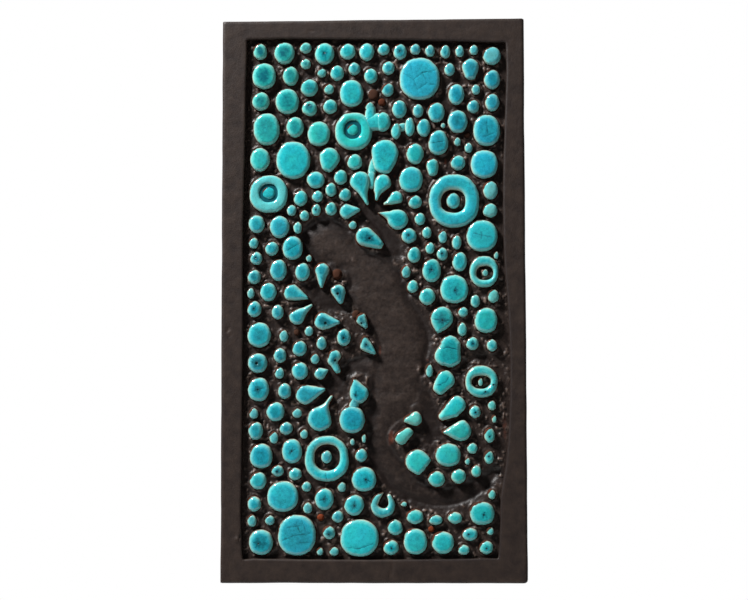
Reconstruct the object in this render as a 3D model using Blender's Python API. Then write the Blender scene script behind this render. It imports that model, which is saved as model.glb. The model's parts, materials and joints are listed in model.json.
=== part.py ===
"""A ceramic plaque to hang on a wall: a sunken lizard among raised glazed dots, inside a plain border.

The plaque is one solid of fired clay. It is modelled lying on its back, with x across the face, y up the
face and z out of the back, and then stood up: its back lies on the wall plane, its front looks towards -Y
and its top towards +Z. The motif is drawn in millimetres from the lower left corner of the face, and
across() and up() carry that drawing onto the sunken field, whatever the sizes below are.
"""

import math

import bmesh
import bpy
from mathutils import Matrix, Vector

MM = 0.001

# The slab
FACE_WIDTH = 152 * MM
FACE_HEIGHT = 282 * MM
THICKNESS = 12 * MM
FRONT_ROUNDING = 1.2 * MM
BACK_ROUNDING = 0.8 * MM
CORNER_ROUNDINGS = {(-1, -1): 1.5 * MM, (1, -1): 2.8 * MM, (1, 1): 1.8 * MM, (-1, 1): 1.5 * MM}
CORNER_STEPS = 3
RIM_STEPS = 2
ROUND_PROFILE = 0.5

# The plain border where it is narrowest on each side, and the sunken field inside it
BORDER_LEFT = 10.4 * MM
BORDER_RIGHT = 7.7 * MM
BORDER_BOTTOM = 11.4 * MM
BORDER_TOP = 9.4 * MM
FIELD_DEPTH = 3.0 * MM

# The relief, measured from the floor of the field
DOT_HEIGHT = 3.3 * MM
SMALL_DOT_SHARE = 0.72
FULL_HEIGHT_AT = 9 * MM
BUMP_HEIGHT = 1.5 * MM
DOT_DRAFT = 0.35 * MM
BODY_DEPTH = 1.7 * MM
LEG_DEPTH = 1.35 * MM
TOE_DEPTH = 1.0 * MM
TOE_START_WIDTH = 2.2 * MM
TOE_TIP_WIDTH = 0.9 * MM
TOE_SIDES = 5
HOLLOW_DEPTH = 0.8 * MM
RING_HOLE_DEPTH = 0.25 * MM
RING_GROOVE_DEPTH = 0.9 * MM
RING_CORE_SHARE = 0.9
HALO_RADIUS = 12.4 * MM
HALO_WIDTH = 3.0 * MM
HALO_DEPTH = 0.8 * MM
HALO_START = math.radians(18)
HALO_END = math.radians(165)
HALO_STEPS = 10
ROOT_OVERLAP = 0.6 * MM
ABOVE_FACE = 4 * MM
WELD_DISTANCE = 0.01 * MM

# The slot in the back, where a nail or a hook carries the plaque
SLOT_WIDTH = 22 * MM
SLOT_HEIGHT = 9 * MM
SLOT_DEPTH = 5.5 * MM
SLOT_DROP = 30 * MM
SLOT_ROUNDING = 2 * MM
SLOT_ROUNDING_STEPS = 3
LARGEST_ROUNDING_SHARE = 0.45

# Manganese clay and copper glaze: linear colour and roughness
CLAY_COLOUR = (0.045, 0.036, 0.032)
CLAY_ROUGHNESS = 0.55
GLAZE_COLOUR = (0.012, 0.33, 0.37)
GLAZE_ROUGHNESS = 0.12

# How many sides a dot gets, up to each size in the drawing
DOT_SIDES = ((5.6, 5), (8.0, 6), (10.9, 7), (14.5, 8), (99.0, 12))
DROP_EXTRA_SIDES = 2
DOT_SQUARENESS = 2.25

# The wavering inner edge of the border
FIELD_EDGE = (
    (12.0, 12.0), (16.0, 11.9), (60.0, 11.4), (100.0, 11.6), (132.5, 12.2), (136.8, 12.6), (138.2, 17.0),
    (139.0, 42.0), (141.8, 58.0), (143.6, 80.0), (144.3, 104.0), (143.9, 124.0), (143.1, 140.0),
    (141.9, 156.0), (141.3, 172.0), (141.4, 205.0), (143.0, 245.0), (143.2, 264.5), (142.4, 269.2),
    (137.0, 269.8), (95.0, 271.5), (50.0, 272.5), (17.0, 272.6), (13.0, 271.9), (12.3, 267.0),
    (11.6, 225.0), (10.6, 175.0), (10.7, 130.0), (10.4, 60.0), (10.6, 16.5),
)

# Round dots: place across, place up, width, height. One group for each height up the field.
DOTS = (
    # Along the top edge
    (19.0, 266.3, 7.0, 8.5), (31.3, 265.5, 10.4, 11.0), (42.0, 268.0, 6.0, 5.5), (42.1, 259.9, 5.4, 5.4),
    (51.6, 265.0, 9.8, 11.0), (63.2, 266.0, 7.8, 8.1), (72.9, 265.7, 7.3, 8.9), (81.4, 267.0, 6.0, 6.1),
    (89.7, 265.6, 6.8, 8.0), (97.4, 266.9, 5.5, 5.6), (104.8, 266.0, 5.0, 6.2), (112.5, 265.5, 5.2, 7.0),
    (119.8, 265.6, 4.6, 6.2), (126.8, 266.2, 4.6, 5.2), (135.9, 263.1, 8.9, 9.2),
    # The row under it, with the widest disc
    (21.0, 253.8, 12.0, 13.2), (34.5, 253.7, 8.0, 9.8), (50.1, 255.2, 4.8, 4.5), (58.0, 255.2, 7.0, 8.0),
    (66.6, 257.2, 5.8, 6.5), (74.9, 253.6, 6.8, 7.8), (83.8, 257.5, 6.1, 7.0), (99.5, 251.8, 20.2, 21.5),
    (114.6, 256.4, 5.3, 6.5), (135.9, 251.1, 8.2, 9.6),
    # Above the lizard's head
    (19.4, 240.9, 8.7, 9.5), (32.8, 240.7, 12.0, 12.7), (43.9, 247.7, 9.0, 8.6), (53.7, 246.9, 5.3, 5.3),
    (65.3, 244.6, 12.0, 13.7), (83.5, 246.4, 6.0, 7.0), (117.9, 243.7, 7.9, 10.5), (127.8, 246.1, 4.4, 5.2),
    (136.0, 239.5, 7.2, 9.0), (44.0, 237.2, 7.7, 7.8), (54.4, 238.0, 7.2, 7.6), (126.4, 237.4, 6.1, 6.7),
    (74.5, 237.5, 4.5, 5.5), (89.3, 236.5, 7.3, 9.3), (98.7, 235.5, 5.4, 7.0), (107.8, 234.7, 8.4, 9.8),
    (22.4, 226.7, 13.2, 16.1), (36.8, 227.7, 8.8, 10.4), (48.7, 224.3, 11.4, 12.6), (81.0, 230.1, 7.9, 9.8),
    (87.6, 225.4, 4.8, 8.2), (94.5, 227.5, 4.8, 9.7), (101.5, 227.0, 6.9, 9.2), (108.8, 219.3, 10.0, 12.6),
    (118.6, 229.9, 10.1, 11.3), (133.1, 225.3, 13.4, 15.7), (118.4, 219.7, 3.6, 4.2), (123.9, 216.6, 4.0, 5.2),
    (111.3, 227.9, 2.4, 2.6),
    (19.1, 211.3, 9.8, 12.0), (35.8, 211.0, 16.9, 19.0), (66.7, 209.8, 7.5, 8.2), (97.1, 213.8, 8.8, 10.2),
    (118.6, 209.2, 7.2, 7.6), (131.8, 208.2, 13.6, 14.5), (95.0, 200.7, 12.0, 12.9), (47.1, 200.8, 9.0, 8.5),
    (59.7, 202.2, 6.7, 7.6), (54.8, 195.8, 5.6, 7.1), (61.8, 193.3, 6.0, 6.5), (39.5, 191.7, 7.0, 8.0),
    (48.1, 192.6, 5.5, 6.0), (97.1, 189.4, 6.7, 6.8), (134.8, 195.1, 7.4, 9.3),
    # Beside the head, left and right
    (35.0, 185.6, 4.9, 5.8), (41.4, 183.0, 4.9, 5.5), (47.4, 185.7, 4.8, 6.2), (54.9, 186.3, 5.8, 7.0),
    (65.7, 178.0, 4.1, 4.2), (99.5, 180.8, 5.3, 6.5), (134.6, 184.9, 7.3, 7.3), (130.4, 172.1, 15.6, 15.8),
    (93.9, 172.5, 7.4, 7.7), (102.8, 174.0, 4.8, 5.8), (110.8, 171.8, 4.5, 6.5), (117.8, 169.0, 4.7, 7.3),
    (17.5, 178.7, 7.9, 8.8), (28.9, 177.2, 9.8, 11.2), (38.1, 176.8, 4.2, 6.0), (15.9, 169.2, 4.9, 5.9),
    (25.1, 166.3, 6.7, 7.2), (35.6, 166.6, 10.1, 12.0), (43.8, 161.3, 3.0, 3.6), (17.2, 161.5, 6.0, 6.6),
    # Beside the shoulders
    (28.4, 155.5, 8.6, 10.9), (40.6, 154.5, 7.4, 9.1), (16.2, 152.1, 6.6, 7.3), (23.4, 144.6, 8.2, 9.4),
    (14.7, 143.9, 3.7, 5.5), (104.4, 166.2, 4.8, 6.2), (110.5, 163.2, 5.5, 6.5),
    (96.5, 162.8, 6.5, 8.3), (119.2, 159.3, 7.5, 9.8), (105.2, 155.0, 9.4, 11.7), (92.4, 154.4, 4.7, 6.4),
    (137.5, 162.4, 2.4, 3.9), (95.7, 147.0, 5.6, 6.5), (116.4, 145.5, 14.2, 14.3), (103.0, 141.9, 8.1, 8.3),
    (126.9, 139.5, 4.7, 6.6), (135.8, 141.9, 5.6, 6.8),
    # Beside the belly
    (16.5, 136.0, 7.0, 8.2), (28.2, 134.4, 5.8, 7.5), (18.9, 122.9, 11.8, 12.6),
    (31.2, 122.5, 4.4, 6.0), (43.8, 124.9, 4.3, 5.2), (61.2, 121.7, 6.8, 8.8), (50.1, 118.8, 5.1, 6.9),
    (29.3, 112.7, 6.3, 7.6), (39.0, 116.2, 7.4, 8.0), (46.8, 111.0, 4.4, 5.4), (18.2, 108.9, 9.7, 9.9),
    (29.1, 103.9, 4.9, 5.7), (39.3, 104.9, 8.2, 9.0), (120.7, 134.2, 5.2, 5.1),
    (120.3, 125.4, 4.6, 6.9), (132.2, 129.8, 11.5, 12.7), (125.2, 118.3, 6.1, 6.5), (135.0, 117.3, 5.2, 6.1),
    (103.9, 104.9, 3.5, 6.5),
    # Beside the root of the tail
    (18.7, 95.8, 10.5, 12.0), (31.6, 95.0, 6.5, 7.9), (16.3, 83.8, 4.6, 5.6), (27.2, 84.7, 8.9, 9.5),
    (37.9, 83.9, 5.0, 4.7), (65.4, 80.6, 12.7, 13.5), (17.4, 75.1, 7.3, 9.0), (32.5, 76.4, 6.7, 6.5),
    (41.4, 73.6, 4.0, 4.9), (26.4, 71.8, 4.4, 6.0), (65.5, 69.6, 2.4, 3.4), (71.3, 71.3, 2.2, 4.6),
    (126.4, 84.5, 5.6, 6.5), (134.8, 87.6, 4.2, 5.0), (135.9, 80.8, 2.3, 3.8), (133.6, 72.8, 5.3, 7.4),
    # Beside the curl of the tail
    (20.1, 62.7, 11.4, 12.4), (35.4, 65.1, 10.0, 12.2), (69.8, 63.0, 5.9, 6.8), (28.3, 55.4, 6.2, 5.7),
    (37.1, 53.7, 6.3, 6.1), (18.6, 50.5, 8.2, 8.5), (42.6, 47.6, 4.9, 5.3), (60.2, 47.3, 4.4, 5.0),
    (71.2, 51.2, 12.4, 12.1), (113.0, 63.1, 12.6, 11.5), (125.0, 66.4, 5.2, 5.5), (122.6, 60.0, 2.7, 3.6),
    (133.2, 62.0, 4.6, 6.7), (126.8, 55.2, 5.0, 5.8), (118.1, 52.6, 7.2, 7.4), (107.2, 51.3, 8.4, 7.7),
    (134.5, 43.6, 3.9, 4.8),
    # Along the bottom edge
    (30.9, 42.6, 15.4, 15.2), (51.5, 41.4, 9.2, 10.8), (66.3, 38.4, 9.9, 10.2), (16.7, 39.0, 6.7, 7.8),
    (43.3, 37.0, 4.6, 5.5), (58.1, 32.8, 5.8, 6.0), (15.6, 30.7, 4.5, 5.8), (24.4, 31.0, 5.0, 4.8),
    (37.9, 23.6, 18.9, 20.0), (53.9, 24.9, 6.0, 6.5), (69.0, 22.2, 19.0, 18.2), (20.1, 20.1, 12.0, 12.6),
    (49.4, 15.6, 3.5, 4.0), (56.4, 15.6, 4.9, 4.4), (91.0, 38.9, 3.2, 2.4), (96.4, 32.6, 8.2, 7.4),
    (106.7, 31.1, 6.9, 5.0), (116.2, 32.1, 7.0, 5.8), (129.7, 34.2, 12.4, 11.4), (86.6, 27.4, 7.4, 7.8),
    (84.5, 17.5, 7.6, 7.5), (96.7, 20.4, 11.7, 12.8), (110.3, 20.0, 10.9, 10.8), (123.6, 24.0, 7.6, 6.5),
    (120.5, 16.4, 6.0, 5.2), (133.6, 25.6, 3.6, 4.0), (131.5, 17.5, 6.6, 6.8),
)

# Drops, eggs and leaves: circles in a row, and the skin stretched from each to the next.
# Each circle has its place across, its place up and its width.
DROPS = (
    # Between the toes of the front right foot, and the leaf and the long drop beside that leg
    ((69.4, 200.2, 10.2), (71.2, 194.0, 4.6), (73.1, 188.8, 1.5)),
    ((80.9, 199.4, 8.4), (78.6, 195.4, 4.4), (77.8, 191.0, 1.5)),
    ((87.4, 191.7, 6.8), (84.2, 189.7, 3.2), (81.8, 188.6, 1.4)),
    ((62.9, 184.9, 7.4), (68.4, 185.6, 1.8)), ((72.0, 172.0, 9.6), (78.2, 168.6, 5.6)),
    ((88.4, 180.6, 10.2), (83.8, 182.6, 4.2), (79.6, 183.7, 1.4)),
    # Between the toes of the front left foot, and the leaf beside that leg
    ((50.3, 155.3, 7.2), (50.1, 147.6, 1.6)), ((35.2, 144.2, 8.4), (42.4, 141.6, 2.0)),
    ((37.8, 131.9, 7.8), (41.3, 134.8, 3.6), (44.8, 137.5, 1.4)),
    ((50.9, 129.8, 8.8), (58.2, 129.1, 2.0)), ((58.4, 144.5, 7.4), (59.7, 140.0, 3.2)),
    # Between the toes of the rear left foot, and the two above that leg
    ((56.5, 112.0, 6.8), (55.6, 109.6, 5.0), (58.0, 105.4, 3.2)), ((42.0, 93.2, 9.7), (50.8, 95.5, 1.8)),
    ((49.3, 81.0, 12.2), (52.0, 87.0, 3.6), (54.9, 91.8, 1.5)), ((68.8, 93.4, 9.4), (66.3, 100.4, 1.8)),
    ((71.8, 120.7, 3.4), (72.5, 117.4, 6.0), (76.1, 114.2, 2.6)),
    ((49.3, 103.6, 5.8), (52.6, 105.0, 1.8)),
    # Between the toes of the rear right foot
    ((96.6, 81.0, 7.0), (92.6, 80.4, 3.0)), ((89.9, 71.6, 6.6), (92.8, 73.8, 5.6)),
    ((110.3, 82.1, 4.2), (117.4, 87.9, 9.0), (116.0, 84.8, 6.4), (110.3, 82.1, 4.2)),
    ((119.4, 75.0, 10.2), (111.5, 74.2, 2.0)),
    ((102.6, 60.6, 3.4), (97.6, 60.0, 11.6), (98.1, 54.8, 3.2)),
    # Eggs and pears elsewhere
    ((125.1, 257.4, 8.7), (125.2, 254.2, 6.4)), ((54.1, 212.0, 10.4), (53.6, 208.6, 7.4)),
    ((105.7, 208.1, 6.4), (106.0, 205.2, 5.4)), ((81.8, 214.0, 14.0), (81.6, 209.2, 10.8)),
    ((110.2, 131.1, 11.4), (108.8, 126.3, 5.2)),
    ((114.0, 112.2, 11.4), (114.3, 117.2, 10.4), (111.7, 112.2, 10.2)),
    ((111.5, 100.2, 9.8), (109.2, 96.4, 6.8)), ((70.2, 130.6, 5.8), (72.0, 127.2, 2.4)),
)

# Low bumps that took no glaze, as the round dots are given
BUMPS = (
    (76.2, 244.0, 5.5, 6.0), (80.5, 240.3, 3.8, 3.8), (123.3, 223.2, 3.0, 2.6), (67.4, 132.8, 3.6, 4.4),
    (57.8, 153.3, 4.5, 5.0), (37.7, 124.3, 2.6, 3.0), (49.5, 32.3, 3.5, 3.0), (104.4, 26.6, 3.0, 2.8),
)

# Rings: the disc, the hole or groove in it, and the core that stands in that hole, each as a round dot
RINGS = (
    {"disc": (66.3, 225.3, 18.8, 19.2), "hole": (65.9, 226.0, 9.3, 10.0), "core": (65.9, 226.0, 5.6, 5.9),
     "glazed": True},
    {"disc": (23.5, 193.8, 19.2, 19.0), "hole": (23.6, 194.2, 9.9, 9.9), "core": (23.6, 194.2, 6.2, 6.2),
     "glazed": True},
    {"disc": (116.6, 189.8, 25.2, 26.8), "hole": (116.2, 189.6, 13.1, 12.3), "core": (116.2, 189.9, 6.6, 8.2),
     "glazed": False},
    {"disc": (131.3, 154.2, 14.6, 15.5), "hole": (131.7, 153.4, 9.1, 8.0), "core": (131.8, 153.7, 3.0, 3.5),
     "glazed": False},
    {"disc": (129.7, 99.4, 16.1, 15.7), "hole": (129.6, 99.1, 10.2, 7.2), "core": (129.2, 99.2, 2.2, 4.2),
     "glazed": False},
    {"disc": (52.8, 61.3, 21.9, 22.6), "hole": (53.0, 61.9, 13.6, 13.8), "core": (52.6, 62.2, 5.2, 6.5),
     "glazed": False},
)

# The open ring that the tail cuts into, and the mouth of its opening
OPEN_RING = (80.5, 38.5, 12.0, 12.3)
OPEN_RING_MOUTH = ((80.9, 39.2, 5.9), (82.0, 45.2, 1.9))

# The middle of the halo groove
HALO_CENTRE = (129.7, 99.4)

# The lizard: place across, place up and half the width, along its middle from the nose to the tail's tip
BODY = (
    (40.3, 172.4, 0.6), (41.2, 172.2, 4.2), (43.4, 171.6, 7.6), (46.6, 171.0, 9.9), (51.0, 170.2, 11.3),
    (55.4, 168.9, 11.0), (59.6, 166.0, 8.9), (63.9, 161.7, 6.7), (70.2, 157.2, 8.8), (75.0, 150.6, 13.6),
    (78.6, 142.5, 14.2), (84.4, 134.4, 12.2), (89.4, 126.2, 13.0), (91.8, 118.5, 13.2), (90.3, 110.5, 12.0),
    (87.5, 100.5, 12.3), (86.2, 92.0, 11.4), (82.2, 84.8, 8.6), (79.6, 78.0, 6.0), (78.6, 70.5, 4.8),
    (80.6, 63.5, 5.9), (84.6, 57.0, 6.2), (89.0, 50.8, 6.0), (95.0, 45.8, 5.3), (102.5, 42.6, 4.9),
    (110.0, 41.8, 4.7), (117.0, 42.9, 4.8), (123.6, 45.2, 4.5), (129.5, 48.7, 3.8), (134.3, 52.4, 2.7),
    (138.2, 56.2, 0.9),
)
LEGS = {
    "front right leg": (
        (86.0, 161.5, 5.4), (86.2, 167.4, 4.0), (83.4, 172.8, 2.5), (79.0, 177.4, 1.9), (75.2, 181.2, 2.0),
        (73.6, 184.8, 2.6), (73.4, 186.6, 1.6),
    ),
    "front left leg": (
        (69.5, 139.0, 4.6), (64.0, 136.3, 2.7), (58.6, 135.9, 2.0), (54.0, 137.8, 2.0), (50.6, 141.2, 2.2),
        (48.4, 143.2, 2.6), (47.0, 144.4, 1.6),
    ),
    "rear left leg": (
        (78.5, 106.6, 6.0), (71.5, 107.8, 4.9), (65.4, 107.4, 3.9), (61.4, 103.8, 2.5), (58.6, 100.2, 2.7),
        (57.0, 97.8, 3.0), (56.2, 96.4, 1.8),
    ),
    "rear right leg": (
        (96.0, 95.0, 6.4), (101.6, 90.4, 4.6), (104.2, 85.4, 3.5), (104.7, 81.0, 3.0), (104.4, 76.8, 3.2),
        (104.2, 74.6, 2.0),
    ),
}

# Hollows round the feet, which the drops between the toes stand in, as the round dots are given
FOOT_HOLLOWS = (
    (77.5, 187.5, 19.0, 16.0), (48.0, 142.0, 17.0, 19.0), (55.5, 97.5, 16.0, 17.0), (98.0, 76.0, 25.0, 18.0),
)

# Toes: where each leaves its foot and where it ends
TOES = (
    ((72.0, 186.8), (65.2, 191.6)), ((75.3, 187.6), (75.6, 196.4)), ((77.2, 187.2), (83.4, 195.2)),
    ((77.2, 185.3), (87.6, 186.2)), ((71.0, 182.8), (67.6, 181.6)),
    ((51.0, 145.2), (54.2, 151.0)), ((46.6, 145.8), (44.8, 151.2)), ((46.0, 140.9), (39.6, 138.0)),
    ((48.4, 140.2), (47.0, 134.6)),
    ((55.6, 100.6), (53.6, 106.0)), ((54.0, 98.6), (47.0, 99.3)), ((54.8, 95.8), (50.4, 91.4)),
    ((57.4, 94.8), (57.6, 88.6)), ((59.8, 96.8), (62.2, 90.8)),
    ((101.4, 76.5), (95.8, 76.9)), ((102.2, 73.9), (95.4, 67.7)), ((105.0, 73.6), (105.3, 64.8)),
    ((107.4, 74.2), (112.4, 70.2)), ((107.6, 77.7), (115.8, 80.5)),
)

FACE = THICKNESS
FLOOR = THICKNESS - FIELD_DEPTH
DOT_ROOT = FLOOR - BODY_DEPTH - ROOT_OVERLAP
DRAWN_LEFT = min(x for x, _ in FIELD_EDGE)
DRAWN_RIGHT = max(x for x, _ in FIELD_EDGE)
DRAWN_BOTTOM = min(y for _, y in FIELD_EDGE)
DRAWN_TOP = max(y for _, y in FIELD_EDGE)
FIELD_LEFT = BORDER_LEFT - FACE_WIDTH / 2
FIELD_WIDTH = FACE_WIDTH - BORDER_LEFT - BORDER_RIGHT
FIELD_BOTTOM = BORDER_BOTTOM - FACE_HEIGHT / 2
FIELD_HEIGHT = FACE_HEIGHT - BORDER_BOTTOM - BORDER_TOP
SCALE_ACROSS = FIELD_WIDTH / (DRAWN_RIGHT - DRAWN_LEFT)
SCALE_UP = FIELD_HEIGHT / (DRAWN_TOP - DRAWN_BOTTOM)
SCALE = min(SCALE_ACROSS, SCALE_UP)
STAND_UP = (math.pi / 2, 0, 0)


def across(drawn):
    """The place across the face of a place in the drawing."""
    return FIELD_LEFT + (drawn - DRAWN_LEFT) * SCALE_ACROSS


def up(drawn):
    """The place up the face of a place in the drawing."""
    return FIELD_BOTTOM + (drawn - DRAWN_BOTTOM) * SCALE_UP


def clear_scene():
    for obj in list(bpy.data.objects):
        bpy.data.objects.remove(obj)


def new_collection(name):
    collection = bpy.data.collections.new(name)
    bpy.context.scene.collection.children.link(collection)
    return collection


def new_material(name, colour, roughness):
    material = bpy.data.materials.new(name)
    material.use_nodes = True
    shader = material.node_tree.nodes["Principled BSDF"]
    shader.inputs["Base Color"].default_value = (*colour, 1)
    shader.inputs["Roughness"].default_value = roughness
    material.diffuse_color = (*colour, 1)
    return material


def object_from(bm, name, collection, material=None):
    mesh = bpy.data.meshes.new(name)
    bm.to_mesh(mesh)
    bm.free()
    if material:
        mesh.materials.append(material)
    obj = bpy.data.objects.new(name, mesh)
    obj.rotation_euler = STAND_UP
    collection.objects.link(obj)
    return obj


def round_edges(bm, edges, rounding, steps):
    bmesh.ops.bevel(
        bm, geom=edges, offset=rounding, segments=steps, profile=ROUND_PROFILE, affect="EDGES"
    )


def round_outline(dot, trim=0.0):
    """A function from an angle to the edge of a slightly squarish dot, drawn in by trim."""
    x, y, width, height = dot
    half_width = width * SCALE / 2 - trim
    half_height = height * SCALE / 2 - trim

    def edge(angle):
        c, s = math.cos(angle), math.sin(angle)
        reach = (abs(c) ** DOT_SQUARENESS + abs(s) ** DOT_SQUARENESS) ** (-1 / DOT_SQUARENESS)
        return Vector((across(x) + half_width * reach * c, up(y) + half_height * reach * s))

    return edge


def drop_outline(circles, trim=0.0):
    """A function from an angle to the edge of the skin stretched over a few circles, drawn in by trim."""

    def edge(angle):
        out = Vector((math.cos(angle), math.sin(angle)))
        reaches = []
        for x, y, width in circles:
            centre = Vector((across(x), up(y)))
            radius = width * SCALE / 2 - trim
            reaches.append((centre.dot(out) + radius, centre + radius * out))
        return max(reaches, key=lambda reach: reach[0])[1]

    return edge


def sides_for(size):
    return round(next(sides for limit, sides in DOT_SIDES if size <= limit))


def size_of(dot):
    """The drawn size of a round dot: the mean of its width and its height."""
    return sum(dot[2:]) / 2


def add_stamp(bm, outline, shape, bottom, top, sides, draft):
    """Adds one closed block: a cylinder whose two rims are moved onto the outline, the top one drawn in."""
    depth = top - bottom
    place = Matrix.Translation((0, 0, bottom + depth / 2))
    made = bmesh.ops.create_cone(
        bm, cap_ends=True, segments=sides, radius1=1, radius2=1, depth=depth, matrix=place
    )
    lower = outline(shape)
    upper = outline(shape, draft)
    for vertex in made["verts"]:
        edge = upper if vertex.co.z > bottom + depth / 2 else lower
        vertex.co.xy = edge(math.atan2(vertex.co.y, vertex.co.x))


def dot_top(size):
    """How high a dot of this drawn size stands: the small ones sit a little lower."""
    share = min(1, size * SCALE / FULL_HEIGHT_AT)
    return FLOOR + DOT_HEIGHT * (SMALL_DOT_SHARE + (1 - SMALL_DOT_SHARE) * share)


def make_dots(collection, glaze):
    bm = bmesh.new()
    for dot in DOTS + tuple(ring["disc"] for ring in RINGS) + (OPEN_RING,):
        size = size_of(dot)
        add_stamp(bm, round_outline, dot, DOT_ROOT, dot_top(size), sides_for(size), DOT_DRAFT)
    for circles in DROPS:
        top = dot_top(max(circle[2] for circle in circles))
        for pair in zip(circles, circles[1:]):
            sides = sides_for(max(circle[2] for circle in pair)) + DROP_EXTRA_SIDES
            add_stamp(bm, drop_outline, pair, DOT_ROOT, top, sides, DOT_DRAFT)
    return object_from(bm, "raised_dots", collection, glaze)


def make_bumps(collection, clay):
    bm = bmesh.new()
    for bump in BUMPS:
        top = FLOOR + BUMP_HEIGHT
        add_stamp(bm, round_outline, bump, DOT_ROOT, top, sides_for(size_of(bump)), DOT_DRAFT)
    return object_from(bm, "bare_bumps", collection, clay)


def make_ring_holes(collection):
    bm = bmesh.new()
    above = FACE + ABOVE_FACE
    for ring in RINGS:
        groove_floor = dot_top(size_of(ring["disc"])) - RING_GROOVE_DEPTH
        bottom = groove_floor if ring["glazed"] else FLOOR - RING_HOLE_DEPTH
        add_stamp(bm, round_outline, ring["hole"], bottom, above, sides_for(size_of(ring["disc"])), 0.0)
    bottom = FLOOR - RING_HOLE_DEPTH
    add_stamp(bm, drop_outline, OPEN_RING_MOUTH, bottom, above, sides_for(size_of(OPEN_RING)), 0.0)
    return object_from(bm, "ring_hole_cutters", collection)


def make_ring_cores(collection, glaze):
    bm = bmesh.new()
    for ring in RINGS:
        core = ring["core"]
        top = FLOOR + DOT_HEIGHT * RING_CORE_SHARE
        add_stamp(bm, round_outline, core, DOT_ROOT, top, sides_for(size_of(core)), DOT_DRAFT)
    return object_from(bm, "ring_cores", collection, glaze)


def prism(name, points, depth, collection, steps):
    """A closed flat outline as a filled 2D curve, made thick from this depth under the field upwards.

    steps is how many stretches run from one point to the next: they follow a smooth curve if it is over 1.
    """
    curve = bpy.data.curves.new(name, "CURVE")
    curve.dimensions = "2D"
    curve.fill_mode = "BOTH"
    bottom = FLOOR - depth
    top = FACE + ABOVE_FACE
    curve.extrude = (top - bottom) / 2
    spline = curve.splines.new("BEZIER")
    spline.bezier_points.add(len(points) - 1)
    for point, place in zip(spline.bezier_points, points):
        point.co = (*place, 0)
        point.handle_left_type = point.handle_right_type = "AUTO"
    spline.resolution_u = steps
    spline.use_cyclic_u = True
    drawn = bpy.data.objects.new(name, curve)
    collection.objects.link(drawn)
    bpy.context.view_layer.update()
    mesh = bpy.data.meshes.new_from_object(drawn.evaluated_get(bpy.context.evaluated_depsgraph_get()))
    bm = bmesh.new()
    bm.from_mesh(mesh)
    bpy.data.objects.remove(drawn)
    bpy.data.meshes.remove(mesh)
    bmesh.ops.remove_doubles(bm, verts=bm.verts, dist=WELD_DISTANCE)
    bmesh.ops.translate(bm, verts=bm.verts, vec=(0, 0, (top + bottom) / 2))
    bmesh.ops.recalc_face_normals(bm, faces=bm.faces)
    return object_from(bm, name, collection)


def ribbon(stations):
    """The outline of a band of changing width along its middle line, up one side and down the other."""
    middle = [Vector((across(x), up(y))) for x, y, _ in stations]
    left, right = [], []
    for i, (_, _, half_width) in enumerate(stations):
        ahead = middle[min(i + 1, len(middle) - 1)] - middle[max(i - 1, 0)]
        side = Vector((-ahead.y, ahead.x)).normalized() * half_width * SCALE
        left.append(middle[i] + side)
        right.append(middle[i] - side)
    return left + right[::-1]


def make_field_cutter(collection):
    edge = [(across(x), up(y)) for x, y in FIELD_EDGE]
    return prism("field_cutter", edge, 0, collection, steps=2)


def make_lizard_cutters(collection):
    """The lizard as cutters: its body with the tail, and each leg with its foot."""
    cutters = [prism("body_cutter", ribbon(BODY), BODY_DEPTH, collection, steps=2)]
    for name, stations in LEGS.items():
        cutter_name = name.replace(" ", "_") + "_cutter"
        cutters.append(prism(cutter_name, ribbon(stations), LEG_DEPTH, collection, steps=1))
    return cutters


def make_toe_cutters(collection):
    bm = bmesh.new()
    for start, tip in TOES:
        toe = ((*start, TOE_START_WIDTH / MM), (*tip, TOE_TIP_WIDTH / MM))
        add_stamp(bm, drop_outline, toe, FLOOR - TOE_DEPTH, FACE + ABOVE_FACE, TOE_SIDES, 0.0)
    return object_from(bm, "toe_cutters", collection)


def make_hollow_cutters(collection):
    bm = bmesh.new()
    for hollow in FOOT_HOLLOWS:
        bottom = FLOOR - HOLLOW_DEPTH
        add_stamp(bm, round_outline, hollow, bottom, FACE + ABOVE_FACE, sides_for(size_of(hollow)), 0.0)
    return object_from(bm, "foot_hollow_cutters", collection)


def make_halo_cutter(collection):
    """The shallow groove that runs part of the way round one ring."""
    middle = Vector((across(HALO_CENTRE[0]), up(HALO_CENTRE[1])))
    inner, outer = [], []
    for step in range(HALO_STEPS + 1):
        angle = HALO_START + (HALO_END - HALO_START) * step / HALO_STEPS
        out = Vector((math.cos(angle), math.sin(angle)))
        half_width = HALO_WIDTH / 2 * math.sin(math.pi * (step + 1) / (HALO_STEPS + 2)) ** 0.5
        inner.append(middle + out * (HALO_RADIUS - half_width))
        outer.append(middle + out * (HALO_RADIUS + half_width))
    return prism("halo_cutter", inner + outer[::-1], HALO_DEPTH, collection, steps=1)


def make_slot_cutter(collection):
    """The nail slot: a block with rounded ends that sinks into the back."""
    bm = bmesh.new()
    depth = SLOT_DEPTH + ABOVE_FACE
    place = Matrix.Translation((0, FACE_HEIGHT / 2 - SLOT_DROP - SLOT_HEIGHT / 2, SLOT_DEPTH - depth / 2))
    size = Matrix.Diagonal((SLOT_WIDTH, SLOT_HEIGHT, depth, 1))
    bmesh.ops.create_cube(bm, size=1, matrix=place @ size)
    rim = [edge for edge in bm.edges if abs(edge.verts[0].co.z - edge.verts[1].co.z) > depth / 2]
    rounding = min(SLOT_ROUNDING, LARGEST_ROUNDING_SHARE * min(SLOT_HEIGHT, SLOT_WIDTH))
    round_edges(bm, rim, rounding, SLOT_ROUNDING_STEPS)
    return object_from(bm, "nail_slot_cutter", collection)


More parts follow.
